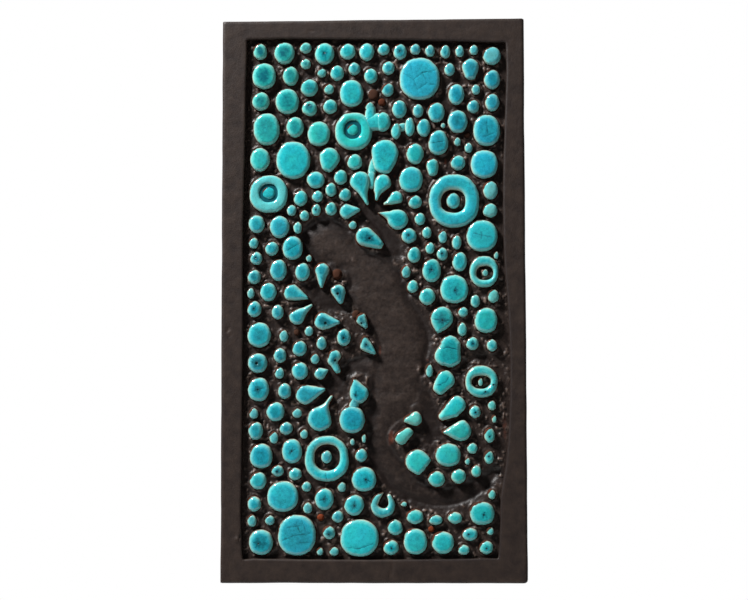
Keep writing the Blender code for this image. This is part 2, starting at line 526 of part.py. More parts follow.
def make_slab(collection, clay):
    """The plain slab with its four corners and its two rims rounded."""
    bm = bmesh.new()
    size = Matrix.Diagonal((FACE_WIDTH, FACE_HEIGHT, THICKNESS, 1))
    bmesh.ops.create_cube(bm, size=1, matrix=Matrix.Translation((0, 0, THICKNESS / 2)) @ size)
    for (side_x, side_y), rounding in CORNER_ROUNDINGS.items():
        corner = [
            edge for edge in bm.edges
            if all(v.co.x * side_x > 0 and v.co.y * side_y > 0 for v in edge.verts)
            and abs(edge.verts[0].co.z - edge.verts[1].co.z) > THICKNESS / 2
        ]
        outermost = max(corner, key=lambda edge: side_x * edge.verts[0].co.x + side_y * edge.verts[0].co.y)
        round_edges(bm, [outermost], rounding, CORNER_STEPS)
    for level, rounding in ((THICKNESS, FRONT_ROUNDING), (0, BACK_ROUNDING)):
        rim = [
            edge for edge in bm.edges
            if all(abs(v.co.z - level) < THICKNESS / 4 for v in edge.verts)
        ]
        round_edges(bm, rim, rounding, RIM_STEPS)
    return object_from(bm, "lizard_tile", collection, clay)


def join(tile, operand, operation, label, may_cross=False):
    """Cuts or joins the operand. may_cross allows for blocks in it that run into each other."""
    modifier = tile.modifiers.new(label, "BOOLEAN")
    modifier.solver = "EXACT"
    modifier.use_self = may_cross
    modifier.operation = operation
    modifier.object = operand
    modifier.material_mode = "TRANSFER"
    operand.hide_render = True
    operand.display_type = "WIRE"


def build():
    clear_scene()
    tile_parts = new_collection("lizard wall hanging")
    cutters = new_collection("cutters and stamps")
    clay = new_material("manganese_stoneware_matt", CLAY_COLOUR, CLAY_ROUGHNESS)
    glaze = new_material("turquoise_copper_glaze", GLAZE_COLOUR, GLAZE_ROUGHNESS)

    tile = make_slab(tile_parts, clay)
    join(tile, make_field_cutter(cutters), "DIFFERENCE", "sink the field")
    join(tile, make_hollow_cutters(cutters), "DIFFERENCE", "sink the hollows round the feet")
    for cutter in make_lizard_cutters(cutters):
        join(tile, cutter, "DIFFERENCE", "sink the " + cutter.name)
    join(tile, make_toe_cutters(cutters), "DIFFERENCE", "sink the toes", may_cross=True)
    join(tile, make_halo_cutter(cutters), "DIFFERENCE", "sink the halo groove")
    join(tile, make_dots(cutters, glaze), "UNION", "raise the dots", may_cross=True)
    join(tile, make_bumps(cutters, clay), "UNION", "raise the bare bumps", may_cross=True)
    join(tile, make_ring_holes(cutters), "DIFFERENCE", "open the rings")
    join(tile, make_ring_cores(cutters, glaze), "UNION", "raise the ring cores")
    join(tile, make_slot_cutter(cutters), "DIFFERENCE", "sink the nail slot")


build()
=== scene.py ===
# %% [markdown]
# # A ceramic lizard plaque
#
# The real thing is a tile cut by hand from dark clay. Its maker carved away the ground between the dots,
# pressed the lizard into it, and put turquoise glaze on the dots alone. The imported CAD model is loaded
# first, because it says where everything is: each outline below is read from it, so nothing here has to be
# fitted by hand.

import json
import math

import bmesh
import bpy
import numpy as np
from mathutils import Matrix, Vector
from mathutils.geometry import delaunay_2d_cdt

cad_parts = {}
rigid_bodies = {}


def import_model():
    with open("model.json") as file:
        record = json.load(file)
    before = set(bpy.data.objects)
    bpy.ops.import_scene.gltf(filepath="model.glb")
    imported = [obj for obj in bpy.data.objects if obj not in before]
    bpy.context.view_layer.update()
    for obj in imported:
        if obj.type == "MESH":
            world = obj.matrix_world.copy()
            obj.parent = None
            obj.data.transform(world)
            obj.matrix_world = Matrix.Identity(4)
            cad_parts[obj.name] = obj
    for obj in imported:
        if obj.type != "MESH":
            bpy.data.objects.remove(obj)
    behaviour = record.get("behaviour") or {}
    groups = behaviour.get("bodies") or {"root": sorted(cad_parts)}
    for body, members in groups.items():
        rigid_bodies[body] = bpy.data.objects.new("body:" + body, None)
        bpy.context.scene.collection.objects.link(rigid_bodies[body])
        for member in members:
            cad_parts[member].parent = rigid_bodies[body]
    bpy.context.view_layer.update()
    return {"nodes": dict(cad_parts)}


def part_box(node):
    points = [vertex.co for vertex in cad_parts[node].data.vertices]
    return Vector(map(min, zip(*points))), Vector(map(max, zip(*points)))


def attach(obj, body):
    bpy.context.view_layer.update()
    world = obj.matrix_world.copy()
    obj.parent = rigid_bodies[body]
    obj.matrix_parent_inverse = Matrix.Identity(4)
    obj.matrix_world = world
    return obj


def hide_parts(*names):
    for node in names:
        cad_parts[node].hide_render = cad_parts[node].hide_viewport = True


for obj in list(bpy.data.objects):
    bpy.data.objects.remove(obj)
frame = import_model()
tile = frame["nodes"]["lizard_tile"]
print("CAD solid:", len(tile.data.polygons), "faces")

# %% [markdown]
# ## Millimetres on the face
#
# A potter would measure this tile from its lower left corner, so every place in this file is given the same
# way: u millimetres across and v millimetres up. Heights are measured from the flat back. One function
# turns such millimetres into Blender's metres, with the front of the tile facing -Y.

# %% Sizes read from the frame
MM = 0.001
low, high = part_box("lizard_tile")
HALF_WIDTH = (high.x - low.x) / 2 / MM
HALF_HEIGHT = (high.z - low.z) / 2 / MM
WELD = 0.002 * MM


def face_mm(x, z):
    """The place on the face, from its lower left corner, of a place in the frame's millimetres."""
    return x + HALF_WIDTH, z + HALF_HEIGHT


def frame_mm(u, v):
    """The place in the frame's millimetres of a place on the face."""
    return np.array([u - HALF_WIDTH, v - HALF_HEIGHT])


print(f"face {2 * HALF_WIDTH:.0f} x {2 * HALF_HEIGHT:.0f} mm, {-low.y / MM:.1f} mm thick")

# %% [markdown]
# ## Reading the carving from the solid
#
# Every dot's top, the floor of the field and the floor of the lizard are flat patches of the CAD solid.
# Walking over the faces that look forwards finds those patches, and the edges at their rims are the
# outlines wanted.

# %% Flat patches and their outlines
FLAT_ENOUGH = 0.999


def loops_round(patch):
    """The closed outlines of a patch of faces, each as an array of places in millimetres."""
    follow = {}
    for face in patch:
        for corner in face.loops:
            others = [f for f in corner.edge.link_faces if f is not face]
            if not any(f in patch for f in others):
                follow[corner.vert] = corner.link_loop_next.vert
    loops = []
    while follow:
        start = next(iter(follow))
        loop, vert = [], start
        while vert in follow:
            loop.append((vert.co.x / MM, vert.co.z / MM))
            vert = follow.pop(vert)
        if len(loop) > 2:
            loops.append(np.array(loop))
    return loops


def flat_patches(obj, way):
    """Each flat patch that looks this way along Y: its height above the back, and its outlines, outer first.

    The faces wait in the mesh's own order, so the patches come out in the same order every time."""
    bm = bmesh.new()
    bm.from_mesh(obj.data)
    bmesh.ops.remove_doubles(bm, verts=bm.verts, dist=WELD)
    waiting = dict.fromkeys(face for face in bm.faces if face.normal.y * way > FLAT_ENOUGH)
    patches = []
    while waiting:
        first = next(iter(waiting))
        del waiting[first]
        patch, edge_of_search = {}, [first]
        while edge_of_search:
            face = edge_of_search.pop()
            patch[face] = True
            for edge in face.edges:
                for other in edge.link_faces:
                    if other in waiting:
                        del waiting[other]
                        edge_of_search.append(other)
        height = -np.mean([vert.co.y for face in patch for vert in face.verts]) / MM
        loops = sorted(loops_round(patch), key=lambda loop: -np.ptp(loop[:, 0]) * np.ptp(loop[:, 1]))
        if way > 0:
            loops = [loop[::-1] for loop in loops]
        patches.append((height, loops))
    bm.free()
    return patches


FRONT, BACK = -1, 1
patches = flat_patches(tile, FRONT)
back_patches = flat_patches(tile, BACK)
border = max(patches, key=lambda patch: np.ptp(patch[1][0][:, 1]))
FACE_HEIGHT = border[0]
FLOOR_HEIGHT = max(
    (patch for patch in patches if patch[0] < FACE_HEIGHT - 1.0), key=lambda patch: np.ptp(patch[1][0][:, 1])
)[0]
RAISED = FLOOR_HEIGHT + 1.0
raised = [patch for patch in patches if patch[0] > RAISED and patch is not border]
sunken = [patch for patch in patches if patch[0] < FLOOR_HEIGHT - 0.1]
print(f"border at {FACE_HEIGHT:.1f} mm, field at {FLOOR_HEIGHT:.1f} mm")
print(len(raised), "raised tops,", len(sunken), "sunken floors,", len(back_patches), "patches at the back")

# %% [markdown]
# ## Soft outlines
#
# The solid's outlines have few corners, but a dot trimmed by hand is round. A Catmull-Rom curve runs
# through all its corners without leaving them, which keeps each dot's own shape, and even steps along it
# make even faces.

# %% Smooth curves through the corners
CURVE_STEPS = 12
LEAST_POINTS = 16


def closed_curve(corners, spacing):
    """Points at even steps along the smooth closed curve through the corners."""
    before, after, beyond = (np.roll(corners, shift, axis=0) for shift in (1, -1, -2))
    pieces = []
    for t in np.arange(CURVE_STEPS) / CURVE_STEPS:
        pieces.append(0.5 * (
            2 * corners + (after - before) * t
            + (2 * before - 5 * corners + 4 * after - beyond) * t ** 2
            + (3 * corners - before - 3 * after + beyond) * t ** 3
        ))
    return even_steps(np.stack(pieces, axis=1).reshape(-1, 2), spacing)


def even_steps(line, spacing):
    """The same closed line, cut again at even steps."""
    closed = np.vstack([line, line[:1]])
    travelled = np.concatenate([[0], np.cumsum(np.linalg.norm(np.diff(closed, axis=0), axis=1))])
    count = max(LEAST_POINTS, round(travelled[-1] / spacing))
    places = np.linspace(0, travelled[-1], count, endpoint=False)
    return np.column_stack([np.interp(places, travelled, closed[:, axis]) for axis in (0, 1)])


def inward(loop):
    """Unit vectors that point from an outline into the clay: to the left of the way it runs."""
    along = np.roll(loop, -1, axis=0) - np.roll(loop, 1, axis=0)
    along /= np.linalg.norm(along, axis=1)[:, None] + 1e-12
    return np.column_stack([-along[:, 1], along[:, 0]])


def distance_to(loops, points):
    """How far each point is from the nearest outline."""
    nearest = np.full(len(points), np.inf)
    for loop in loops:
        for start, end in zip(loop, np.roll(loop, -1, axis=0)):
            run = end - start
            share = np.clip((points - start) @ run / (run @ run + 1e-12), 0, 1)
            nearest = np.minimum(nearest, np.linalg.norm(points - start - share[:, None] * run, axis=1))
    return nearest


def is_inside(loops, points):
    """Whether each point is inside the outer outline and outside its holes."""
    inside = np.zeros(len(points), bool)
    x, z = points[:, 0], points[:, 1]
    for loop in loops:
        for (x0, z0), (x1, z1) in zip(loop, np.roll(loop, -1, axis=0)):
            if z0 != z1:
                crosses = (z0 > z) != (z1 > z)
                inside ^= crosses & (x < (x1 - x0) * (z - z0) / (z1 - z0) + x0)
    return inside


# %% [markdown]
# ## Uneven as handwork
#
# Nothing on a hand-cut tile is truly flat. A grid of random heights with smooth slopes between them is
# called value noise. It is written here in a few lines, with a fixed seed, so that the same tile comes out
# every time.

# %% Value noise
def value_noise(x, z, size, seed):
    """Smooth random values from -1 to 1 whose bumps are about size millimetres wide."""
    lattice = np.random.default_rng(seed).uniform(-1, 1, (256, 256))
    x, z = np.asarray(x) / size, np.asarray(z) / size
    column, row = np.floor(x).astype(int), np.floor(z).astype(int)
    fx, fz = x - column, z - row
    fx, fz = fx * fx * (3 - 2 * fx), fz * fz * (3 - 2 * fz)
    corner = [lattice[(row + dz) % 256, (column + dx) % 256] for dz in (0, 1) for dx in (0, 1)]
    return (corner[0] * (1 - fx) + corner[1] * fx) * (1 - fz) + (corner[2] * (1 - fx) + corner[3] * fx) * fz


def rough_noise(x, z, size, seed, octaves=3):
    """Several sizes of value noise on top of each other, each half as wide and half as high as the last."""
    total, height = 0, 1
    for octave in range(octaves):
        total = total + height * value_noise(x, z, size / 2 ** octave, seed + octave)
        height /= 2
    return total / (2 - 2 * height)


def smooth_step(value, start, end):
    """0 before the start, 1 past the end, and a smooth rise between them."""
    t = np.clip((value - start) / (end - start), 0, 1)
    return t * t * (3 - 2 * t)


# %% [markdown]
# ## From numbers to meshes
#
# Blender takes a mesh fastest as whole arrays. One function stores the points, the faces and any value that
# the materials need later, such as how far a point is from its dot's rim. Another covers any flat outline
# with even triangles: it lays rings of points along the outline, scatters more inside, and joins them by
# Delaunay's rule.

# %% Mesh builders
DENSE_CLEARANCE = 0.32
ROW_STEP = 0.87
SCATTER = 0.12


def new_piece(name, points, faces, material, **values):
    """A mesh object from points (x, height, z) in millimetres and faces, all triangles or all quads."""
    mesh = bpy.data.meshes.new(name)
    world = np.column_stack([points[:, 0], -points[:, 1], points[:, 2]]) * MM
    corners = faces.shape[1]
    mesh.vertices.add(len(world))
    mesh.vertices.foreach_set("co", world.ravel())
    mesh.loops.add(faces.size)
    mesh.loops.foreach_set("vertex_index", faces.ravel().astype(np.int32))
    mesh.polygons.add(len(faces))
    mesh.polygons.foreach_set("loop_start", np.arange(0, faces.size, corners, dtype=np.int32))
    for value_name, value in values.items():
        layer = mesh.attributes.new(value_name, "FLOAT", "POINT")
        layer.data.foreach_set("value", np.asarray(value, np.float32))
    mesh.update(calc_edges=True)
    mesh.validate()
    mesh.shade_smooth()
    mesh.materials.append(material)
    piece = bpy.data.objects.new(name, mesh)
    bpy.context.scene.collection.objects.link(piece)
    print(f"{name}: {len(mesh.vertices)} points, {len(faces) * (corners - 2)} triangles")
    return piece


def sheet(loops, insets, spacing, seed, dense=None):
    """Even triangles over an outline with holes: their points, corners, and each point's distance to the rim.

    Where dense points are given, they take the place of the scattered ones near them."""
    layers = [np.vstack(loops)]
    for inset in insets:
        ring = np.vstack([loop + inward(loop) * inset for loop in loops])
        keep = is_inside(loops, ring) & (distance_to(loops, ring) > 0.94 * inset)
        layers.append(ring[keep])
    low_corner, high_corner = loops[0].min(0), loops[0].max(0)
    columns = np.arange(low_corner[0], high_corner[0], spacing)
    rows = np.arange(low_corner[1], high_corner[1], spacing * ROW_STEP)
    grid_x, grid_z = np.meshgrid(columns, rows)
    grid_x = grid_x + (np.arange(len(rows)) % 2)[:, None] * spacing / 2
    inner = np.column_stack([grid_x.ravel(), grid_z.ravel()])
    inner = inner + np.random.default_rng(seed).uniform(-SCATTER, SCATTER, inner.shape) * spacing
    keep = is_inside(loops, inner)
    inner = inner[keep]
    layers.append(inner[distance_to(loops, inner) > (insets[-1] if insets else 0) + 0.6 * spacing])
    if dense is not None and len(dense):
        dense = dense[is_inside(loops, dense)]
        dense = dense[distance_to(loops, dense) > DENSE_CLEARANCE]
        for layer in range(1, len(layers)):
            away = np.linalg.norm(layers[layer][:, None] - dense[None], axis=2)
            layers[layer] = layers[layer][away.min(axis=1, initial=np.inf) > DENSE_CLEARANCE]
        layers.append(dense)
    points = np.vstack(layers)
    edges, start = [], 0
    for loop in loops:
        count = len(loop)
        edges += [(start + i, start + (i + 1) % count) for i in range(count)]
        start += count
    found = delaunay_2d_cdt([Vector(p) for p in points], edges, [], 0, 1e-6)
    points = np.array(found[0])
    triangles = np.array(found[2])
    triangles = triangles[is_inside(loops, points[triangles].mean(axis=1))]
    distance = distance_to(loops, points)
    distance[:start] = 0
    return points, triangles, distance


def strip(count, rings):
    """The quads between closed rings of count points each, stored one after the other."""
    i = np.arange(count)
    j = (i + 1) % count
    quads = [np.column_stack([r * count + i, r * count + j, (r + 1) * count + j, (r + 1) * count + i])
             for r in range(rings - 1)]
    return np.vstack(quads)


def at_height(flat, height):
    """Places in the frame's flat millimetres, as points (x, height, z)."""
    return np.column_stack([flat[:, 0], np.broadcast_to(height, len(flat)), flat[:, 1]])


def split_quads(quads):
    """Each quad as two triangles."""
    return np.vstack([quads[:, [0, 1, 2]], quads[:, [0, 2, 3]]])


# %% [markdown]
# ## Materials: one helper
#
# Every finish here is a network of nodes. One small function adds a node, sets it up and connects it, so
# each material below reads as a list of what it is made of. Colours are written as the hex values that an
# eyedropper would give, and one function turns them into the linear light that Blender computes with.

# %% Node helper and colours
def linear(hex_colour):
    """An sRGB hex colour as linear light."""
    parts = [int(hex_colour[i:i + 2], 16) / 255 for i in (1, 3, 5)]
    return tuple(c / 12.92 if c <= 0.04045 else ((c + 0.055) / 1.055) ** 2.4 for c in parts) + (1.0,)


def add(tree, kind, inputs=None, **settings):
    """Adds a node. inputs gives a socket its value, or the output, or the node, to take it from."""
    node = tree.nodes.new(kind)
    for name, value in settings.items():
        setattr(node, name, value)
    for key, value in (inputs or {}).items():
        if isinstance(value, bpy.types.Node):
            value = next(output for output in value.outputs if output.enabled)
        if isinstance(value, bpy.types.NodeSocket):
            tree.links.new(value, node.inputs[key])
        else:
            node.inputs[key].default_value = value
    return node


def new_material(name):
    """An empty node material and its tree."""
    material = bpy.data.materials.new(name)
    material.use_nodes = True
    material.node_tree.nodes.clear()
    return material, material.node_tree


def grain(size_mm):
    """The scale of a noise texture whose bumps are about this many millimetres wide."""
    return 1 / (size_mm * MM)


# %% [markdown]
# ## The clay
#
# The body is a stoneware coloured dark brown with manganese. Fired without glaze it is matt with a faint
# satin sheen where a finger or a wet sponge has closed its surface. Rubbing leaves cloudy patches, and the
# coarse grog in it shows as fine pits. The carved ground is rougher and darker, with paler crumbs where the
# tool tore it. The same value that makes the crumbs paler also carries painted light and shade: paler burrs,
# a paler lizard belly, darker lizard edges and a darker rim along the right of the field.

# %% Manganese stoneware, sponged and fired bare
EMBER_CLAY = "#6B3320"
GROG_MM = 0.8
WAVE_MM = 0.2


def stoneware(name, dark, pale, cloud_amount, cloud_mm, roughness, shine, pit_mm):
    material, tree = new_material(name)
    place = add(tree, "ShaderNodeTexCoord").outputs["Object"]
    # crumb: paler crumbs, curls and knocks, and also painted light and shade (paler burrs and lizard belly,
    # darker lizard edges and right field rim)
    crumb, ember, smooth = (add(tree, "ShaderNodeAttribute", attribute_name=value_name).outputs["Fac"]
                            for value_name in ("crumb", "ember", "smooth"))
    clouds = add(tree, "ShaderNodeTexNoise", {
        "Vector": place, "Scale": grain(cloud_mm), "Detail": 5.0, "Roughness": 0.6})
    grog = add(tree, "ShaderNodeTexNoise", {
        "Vector": place, "Scale": grain(GROG_MM), "Detail": 3.0, "Roughness": 0.65})
    cloud_share = add(tree, "ShaderNodeMapRange", {
        "Value": clouds, "From Min": 0.35, "From Max": 0.7, "To Min": 0.0, "To Max": cloud_amount})
    share = add(tree, "ShaderNodeMath", {0: cloud_share, 1: crumb}, operation="ADD", use_clamp=True)
    brown = add(tree, "ShaderNodeMix", {
        "Factor": share, "A": linear(dark), "B": linear(pale)}, data_type="RGBA")
    red_share = add(tree, "ShaderNodeMath", {
        0: clouds, 1: ember, 2: -0.12}, operation="MULTIPLY_ADD", use_clamp=True)
    red_part = add(tree, "ShaderNodeMath", {0: red_share, 1: 2.6}, operation="MULTIPLY", use_clamp=True)
    colour = add(tree, "ShaderNodeMix", {
        "Factor": red_part, "A": brown, "B": linear(EMBER_CLAY)}, data_type="RGBA")
    dull = add(tree, "ShaderNodeMapRange", {
        "Value": grog, "From Min": 0.3, "From Max": 0.7, "To Min": roughness - 0.08,
        "To Max": roughness + 0.1})
    sheen = add(tree, "ShaderNodeMath", {0: smooth, 1: 0.06, 2: dull}, operation="MULTIPLY_ADD")
    calm = add(tree, "ShaderNodeMapRange", {"Value": smooth, "To Min": 1.0, "To Max": 0.3})
    pits = add(tree, "ShaderNodeBump", {"Height": grog, "Strength": calm, "Distance": pit_mm * MM})
    waves = add(tree, "ShaderNodeBump", {
        "Height": clouds, "Strength": 1.0, "Distance": WAVE_MM * MM, "Normal": pits})
    shader = add(tree, "ShaderNodeBsdfPrincipled", {
        "Base Color": colour, "Roughness": sheen, "IOR": 1.5, "Specular IOR Level": shine, "Normal": waves})
    add(tree, "ShaderNodeOutputMaterial", {"Surface": shader})
    return material


border_clay = stoneware("manganese_stoneware_sponged", dark="#1E1512", pale="#30251F", cloud_amount=0.9,
                        cloud_mm=6.0, roughness=0.52, shine=0.3, pit_mm=0.08)
ground_clay = stoneware("manganese_stoneware_carved", dark="#170E0B", pale="#705E54", cloud_amount=0.12,
                        cloud_mm=2.4, roughness=0.42, shine=0.32, pit_mm=0.14)
print("clay finishes:", border_clay.name, ground_clay.name)

# %% [markdown]
# ## The glaze
#
# Copper in a glassy glaze fires turquoise: greener where it is thin over brown clay, bluer where it pools.
# It is poured glass in all but name, so it is very smooth, has an IOR near 1.5 and mirrors the light as
# small sharp spots. It runs thin over a rim, where it turns milky and lets the clay show through.

# %% Copper turquoise glaze, brushed on and fired to a gloss
GLAZE_GREEN = "#28A598"
GLAZE_TURQUOISE = "#1FA9B0"
GLAZE_BLUE = "#2196AE"
GLAZE_DEEP = "#085561"
GLAZE_THIN = "#70B6AE"
GLAZE_CREAM = "#ACA48D"
BURNT_CLAY = "#35261F"
SPECK_CLAY = "#0E2A2C"
DRIFT_MM = 5.0
MOTTLE_MM = 1.5
SPECK_MM = 0.5
RIPPLE_DEEP = 0.35
GRIT_DEEP = 0.04


def copper_glaze():
    material, tree = new_material("copper_glaze_gloss")
    place = add(tree, "ShaderNodeTexCoord").outputs["Object"]
    tone, rim, heart, pool, cover, milk, dark, ember = (
        add(tree, "ShaderNodeAttribute", attribute_name=value_name).outputs["Fac"]
        for value_name in ("tone", "rim_mm", "heart", "pool", "cover", "milk", "dark", "ember")
    )
    drift = add(tree, "ShaderNodeTexNoise", {"Vector": place, "Scale": grain(DRIFT_MM), "Detail": 3.0})
    mottle = add(tree, "ShaderNodeTexNoise", {
        "Vector": place, "Scale": grain(MOTTLE_MM), "Detail": 4.0, "Roughness": 0.65})
    specks = add(tree, "ShaderNodeTexNoise", {"Vector": place, "Scale": grain(SPECK_MM), "Detail": 2.0})

    drift_part = add(tree, "ShaderNodeMapRange", {
        "Value": drift, "From Min": 0.3, "From Max": 0.7, "To Min": -0.16, "To Max": 0.16})
    toned = add(tree, "ShaderNodeMath", {0: tone, 1: drift_part}, operation="ADD", use_clamp=True)
    ramp = add(tree, "ShaderNodeValToRGB", {"Fac": toned})
    ramp.color_ramp.elements[0].color = linear(GLAZE_GREEN)
    ramp.color_ramp.elements[1].color = linear(GLAZE_BLUE)
    ramp.color_ramp.elements.new(0.5).color = linear(GLAZE_TURQUOISE)

    patchy = add(tree, "ShaderNodeMapRange", {
        "Value": mottle, "From Min": 0.38, "From Max": 0.68, "To Min": -0.16, "To Max": 0.26})
    middle = add(tree, "ShaderNodeMapRange", {
        "Value": heart, "From Min": 0.05, "From Max": 0.85, "To Min": 0.0, "To Max": 1.0},
        interpolation_type="SMOOTHSTEP")
    pooled = add(tree, "ShaderNodeMath", {0: middle, 1: pool, 2: patchy}, operation="MULTIPLY_ADD")
    # dark deepens the glaze at pinholes, cracks and streaks, and also carries painted shade on the dot walls
    # and in the grooves.
    pool_share = add(tree, "ShaderNodeMath", {0: pooled, 1: dark}, operation="ADD", use_clamp=True)
    body = add(tree, "ShaderNodeMix", {
        "Factor": pool_share, "A": ramp, "B": linear(GLAZE_DEEP)}, data_type="RGBA")

    rim_wave = add(tree, "ShaderNodeMath", {0: mottle, 1: 1.2, 2: -0.6}, operation="MULTIPLY_ADD")
    rim_place = add(tree, "ShaderNodeMath", {0: rim, 1: rim_wave}, operation="ADD")
    thin = add(tree, "ShaderNodeMapRange", {
        "Value": rim_place, "From Min": 0.1, "From Max": 2.7, "To Min": 0.78, "To Max": 0.0},
        interpolation_type="SMOOTHSTEP")
    milky = add(tree, "ShaderNodeMath", {0: thin, 1: milk}, operation="MAXIMUM")
    thinned = add(tree, "ShaderNodeMix", {
        "Factor": milky, "A": body, "B": linear(GLAZE_THIN)}, data_type="RGBA")
    cream = add(tree, "ShaderNodeMapRange", {
        "Value": rim_place, "From Min": -0.1, "From Max": 0.7, "To Min": 0.85, "To Max": 0.0})
    rimmed = add(tree, "ShaderNodeMix", {
        "Factor": cream, "A": thinned, "B": linear(GLAZE_CREAM)}, data_type="RGBA")
    speck_share = add(tree, "ShaderNodeMapRange", {
        "Value": specks, "From Min": 0.62, "From Max": 0.72, "To Min": 0.0, "To Max": 0.5})
    burnt_share = add(tree, "ShaderNodeMath", {
        0: dark, 1: 1.4, 2: -0.9}, operation="MULTIPLY_ADD", use_clamp=True)
    dark_share = add(tree, "ShaderNodeMath", {0: speck_share, 1: burnt_share}, operation="MAXIMUM")
    specked = add(tree, "ShaderNodeMix", {
        "Factor": dark_share, "A": rimmed, "B": linear(SPECK_CLAY)}, data_type="RGBA")

    cover_wave = add(tree, "ShaderNodeMath", {0: mottle, 1: 0.9, 2: -0.45}, operation="MULTIPLY_ADD")
    covered = add(tree, "ShaderNodeMath", {0: cover, 1: cover_wave}, operation="ADD")
    glazed = add(tree, "ShaderNodeMapRange", {
        "Value": covered, "From Min": 0.35, "From Max": 0.65, "To Min": 0.0, "To Max": 1.0})
    clay = add(tree, "ShaderNodeMix", {
        "Factor": ember, "A": linear(BURNT_CLAY), "B": linear(EMBER_CLAY)}, data_type="RGBA")
    colour = add(tree, "ShaderNodeMix", {"Factor": glazed, "A": clay, "B": specked}, data_type="RGBA")
    glassy = add(tree, "ShaderNodeMath", {0: glazed, 1: burnt_share}, operation="SUBTRACT", use_clamp=True)
    shine = add(tree, "ShaderNodeMath", {0: glassy, 1: 0.5}, operation="MULTIPLY")
    gloss = add(tree, "ShaderNodeMapRange", {
        "Value": glassy, "From Min": 0.0, "From Max": 1.0, "To Min": 0.5, "To Max": 0.12})
    ripple = add(tree, "ShaderNodeBump", {"Height": drift, "Strength": 1.0, "Distance": RIPPLE_DEEP * MM})
    grit = add(tree, "ShaderNodeBump", {
        "Height": mottle, "Strength": 1.0, "Distance": GRIT_DEEP * MM, "Normal": ripple})
    shader = add(tree, "ShaderNodeBsdfPrincipled", {
        "Base Color": colour, "Roughness": gloss, "IOR": 1.52, "Specular IOR Level": shine, "Normal": grit})
    add(tree, "ShaderNodeOutputMaterial", {"Surface": shader})
    return material


glaze = copper_glaze()
print("glaze finish:", glaze.name)

# %% [markdown]
# ## Dots
#
# Each dot is a low pillow: a wall that leans in a little, a rounded shoulder, and a top that swells by a
# few tenths of a millimetre. All of them are built by the same steps from their own outline, so a drop, a
# leaf and a ring need no code of their own. They share one mesh, with each point's distance from the rim
# stored on it.

# %% Where the glaze fired green, blue or dark
REGIONS = (
    # u, v, reach, tone from green to blue, how dark it pooled
    (20, 262, 14, 0.1, 0.95), (32, 247, 11, 0.2, 0.9), (22, 227, 9, 0.15, 0.75), (36, 211, 9, 0.5, 0.5),
    (50, 255, 9, 0.5, 0.5), (66, 262, 14, 0.5, 0.45), (97, 252, 14, 0.95, 0.6), (130, 255, 14, 0.95, 0.5),
    (132, 228, 14, 1.0, 0.5), (112, 228, 10, 0.8, 0.5), (117, 190, 15, 0.85, 0.3), (66, 225, 10, 0.15, 0.1),
    (82, 213, 12, 0.45, 0.3), (24, 194, 12, 0.45, 0.15), (95, 208, 14, 0.45, 0.45), (75, 192, 14, 0.5, 0.5),
    (130, 172, 10, 0.6, 0.3),
    (22, 165, 16, 0.75, 0.6), (22, 130, 18, 0.8, 0.65), (55, 155, 14, 0.85, 0.65), (62, 130, 12, 0.9, 0.8),
    (30, 100, 18, 0.85, 0.6), (115, 150, 14, 0.45, 0.6), (112, 125, 14, 0.4, 0.65), (130, 100, 12, 0.5, 0.25),
    (113, 70, 17, 0.3, 0.15), (94, 78, 8, 0.1, 0.0), (50, 62, 12, 0.75, 0.35), (50, 80, 12, 0.75, 0.4),
    (67, 85, 9, 0.9, 0.65), (38, 24, 9, 1.0, 1.2), (30, 45, 14, 0.75, 0.55), (70, 22, 12, 0.6, 0.4),
    (96, 22, 10, 0.45, 0.25), (125, 26, 18, 0.4, 0.25),
)


def region(u, v):
    """The tone and the darkness of the glaze in this part of the tile."""
    weights = [math.exp(-((u - ru) ** 2 + (v - rv) ** 2) / (2 * reach ** 2)) + 1e-6
               for ru, rv, reach, _, _ in REGIONS]
    total = sum(weights)
    return [sum(weight * row[column] for weight, row in zip(weights, REGIONS)) / total for column in (3, 4)]


# %% [markdown]
# ## What happened to single dots
#
# Glaze is never even. These tables say where it drew back, stayed milky, burst into pinholes, cracked as it
# cooled or ran across to a neighbour. The functions after them turn a table's rows into marks on one dot.

# %% Marks of single dots
BALD = (
    # u, v, how far the glaze drew back from the upper left
    (97.4, 266.9, 0.9), (118.6, 209.2, 0.9), (28.4, 155.5, 0.9), (39.0, 116.2, 1.5), (29.1, 103.9, 1.0),
    (18.6, 50.5, 0.9), (16.3, 83.8, 1.0), (66.3, 38.4, 1.0), (53.9, 24.9, 0.9), (131.5, 17.5, 0.9),
    (133.6, 25.6, 1.7), (70.2, 129.8, 1.2), (133.2, 62.4, 1.4), (133.6, 72.8, 1.2), (135.8, 141.9, 1.5),
    (50.1, 255.2, 1.5), (83.5, 246.4, 1.5), (49.4, 15.6, 1.5), (53.7, 246.9, 1.1), (41.0, 262.5, 0.9),
    (35.5, 254.0, 0.9), (57.5, 152.0, 1.8), (137.0, 80.5, 1.5),
    (135.9, 263.1, 1.1), (134.8, 195.1, 1.0), (134.6, 184.9, 0.9), (91.0, 72.5, 1.1), (76.2, 114.2, 0.9),
)
PALE = (
    # u, v, how milky the glaze stayed
    (135.9, 263.1, 0.45), (134.8, 195.1, 0.6), (134.6, 184.9, 0.6), (135.8, 141.9, 0.5), (60.2, 47.3, 0.6),
    (96.4, 81.1, 0.5), (91.0, 72.5, 0.4), (53.7, 246.9, 0.5), (76.0, 225.0, 0.35), (31.0, 193.8, 0.45),
    (65.5, 47.0, 0.5), (137.0, 80.5, 0.9),
)
FIRED_ORANGE = (
    # u, v, how orange the bare clay fired
    (49.5, 32.3, 0.95), (104.4, 26.6, 0.9), (57.8, 153.3, 0.1), (80.5, 240.3, 0.35),
)
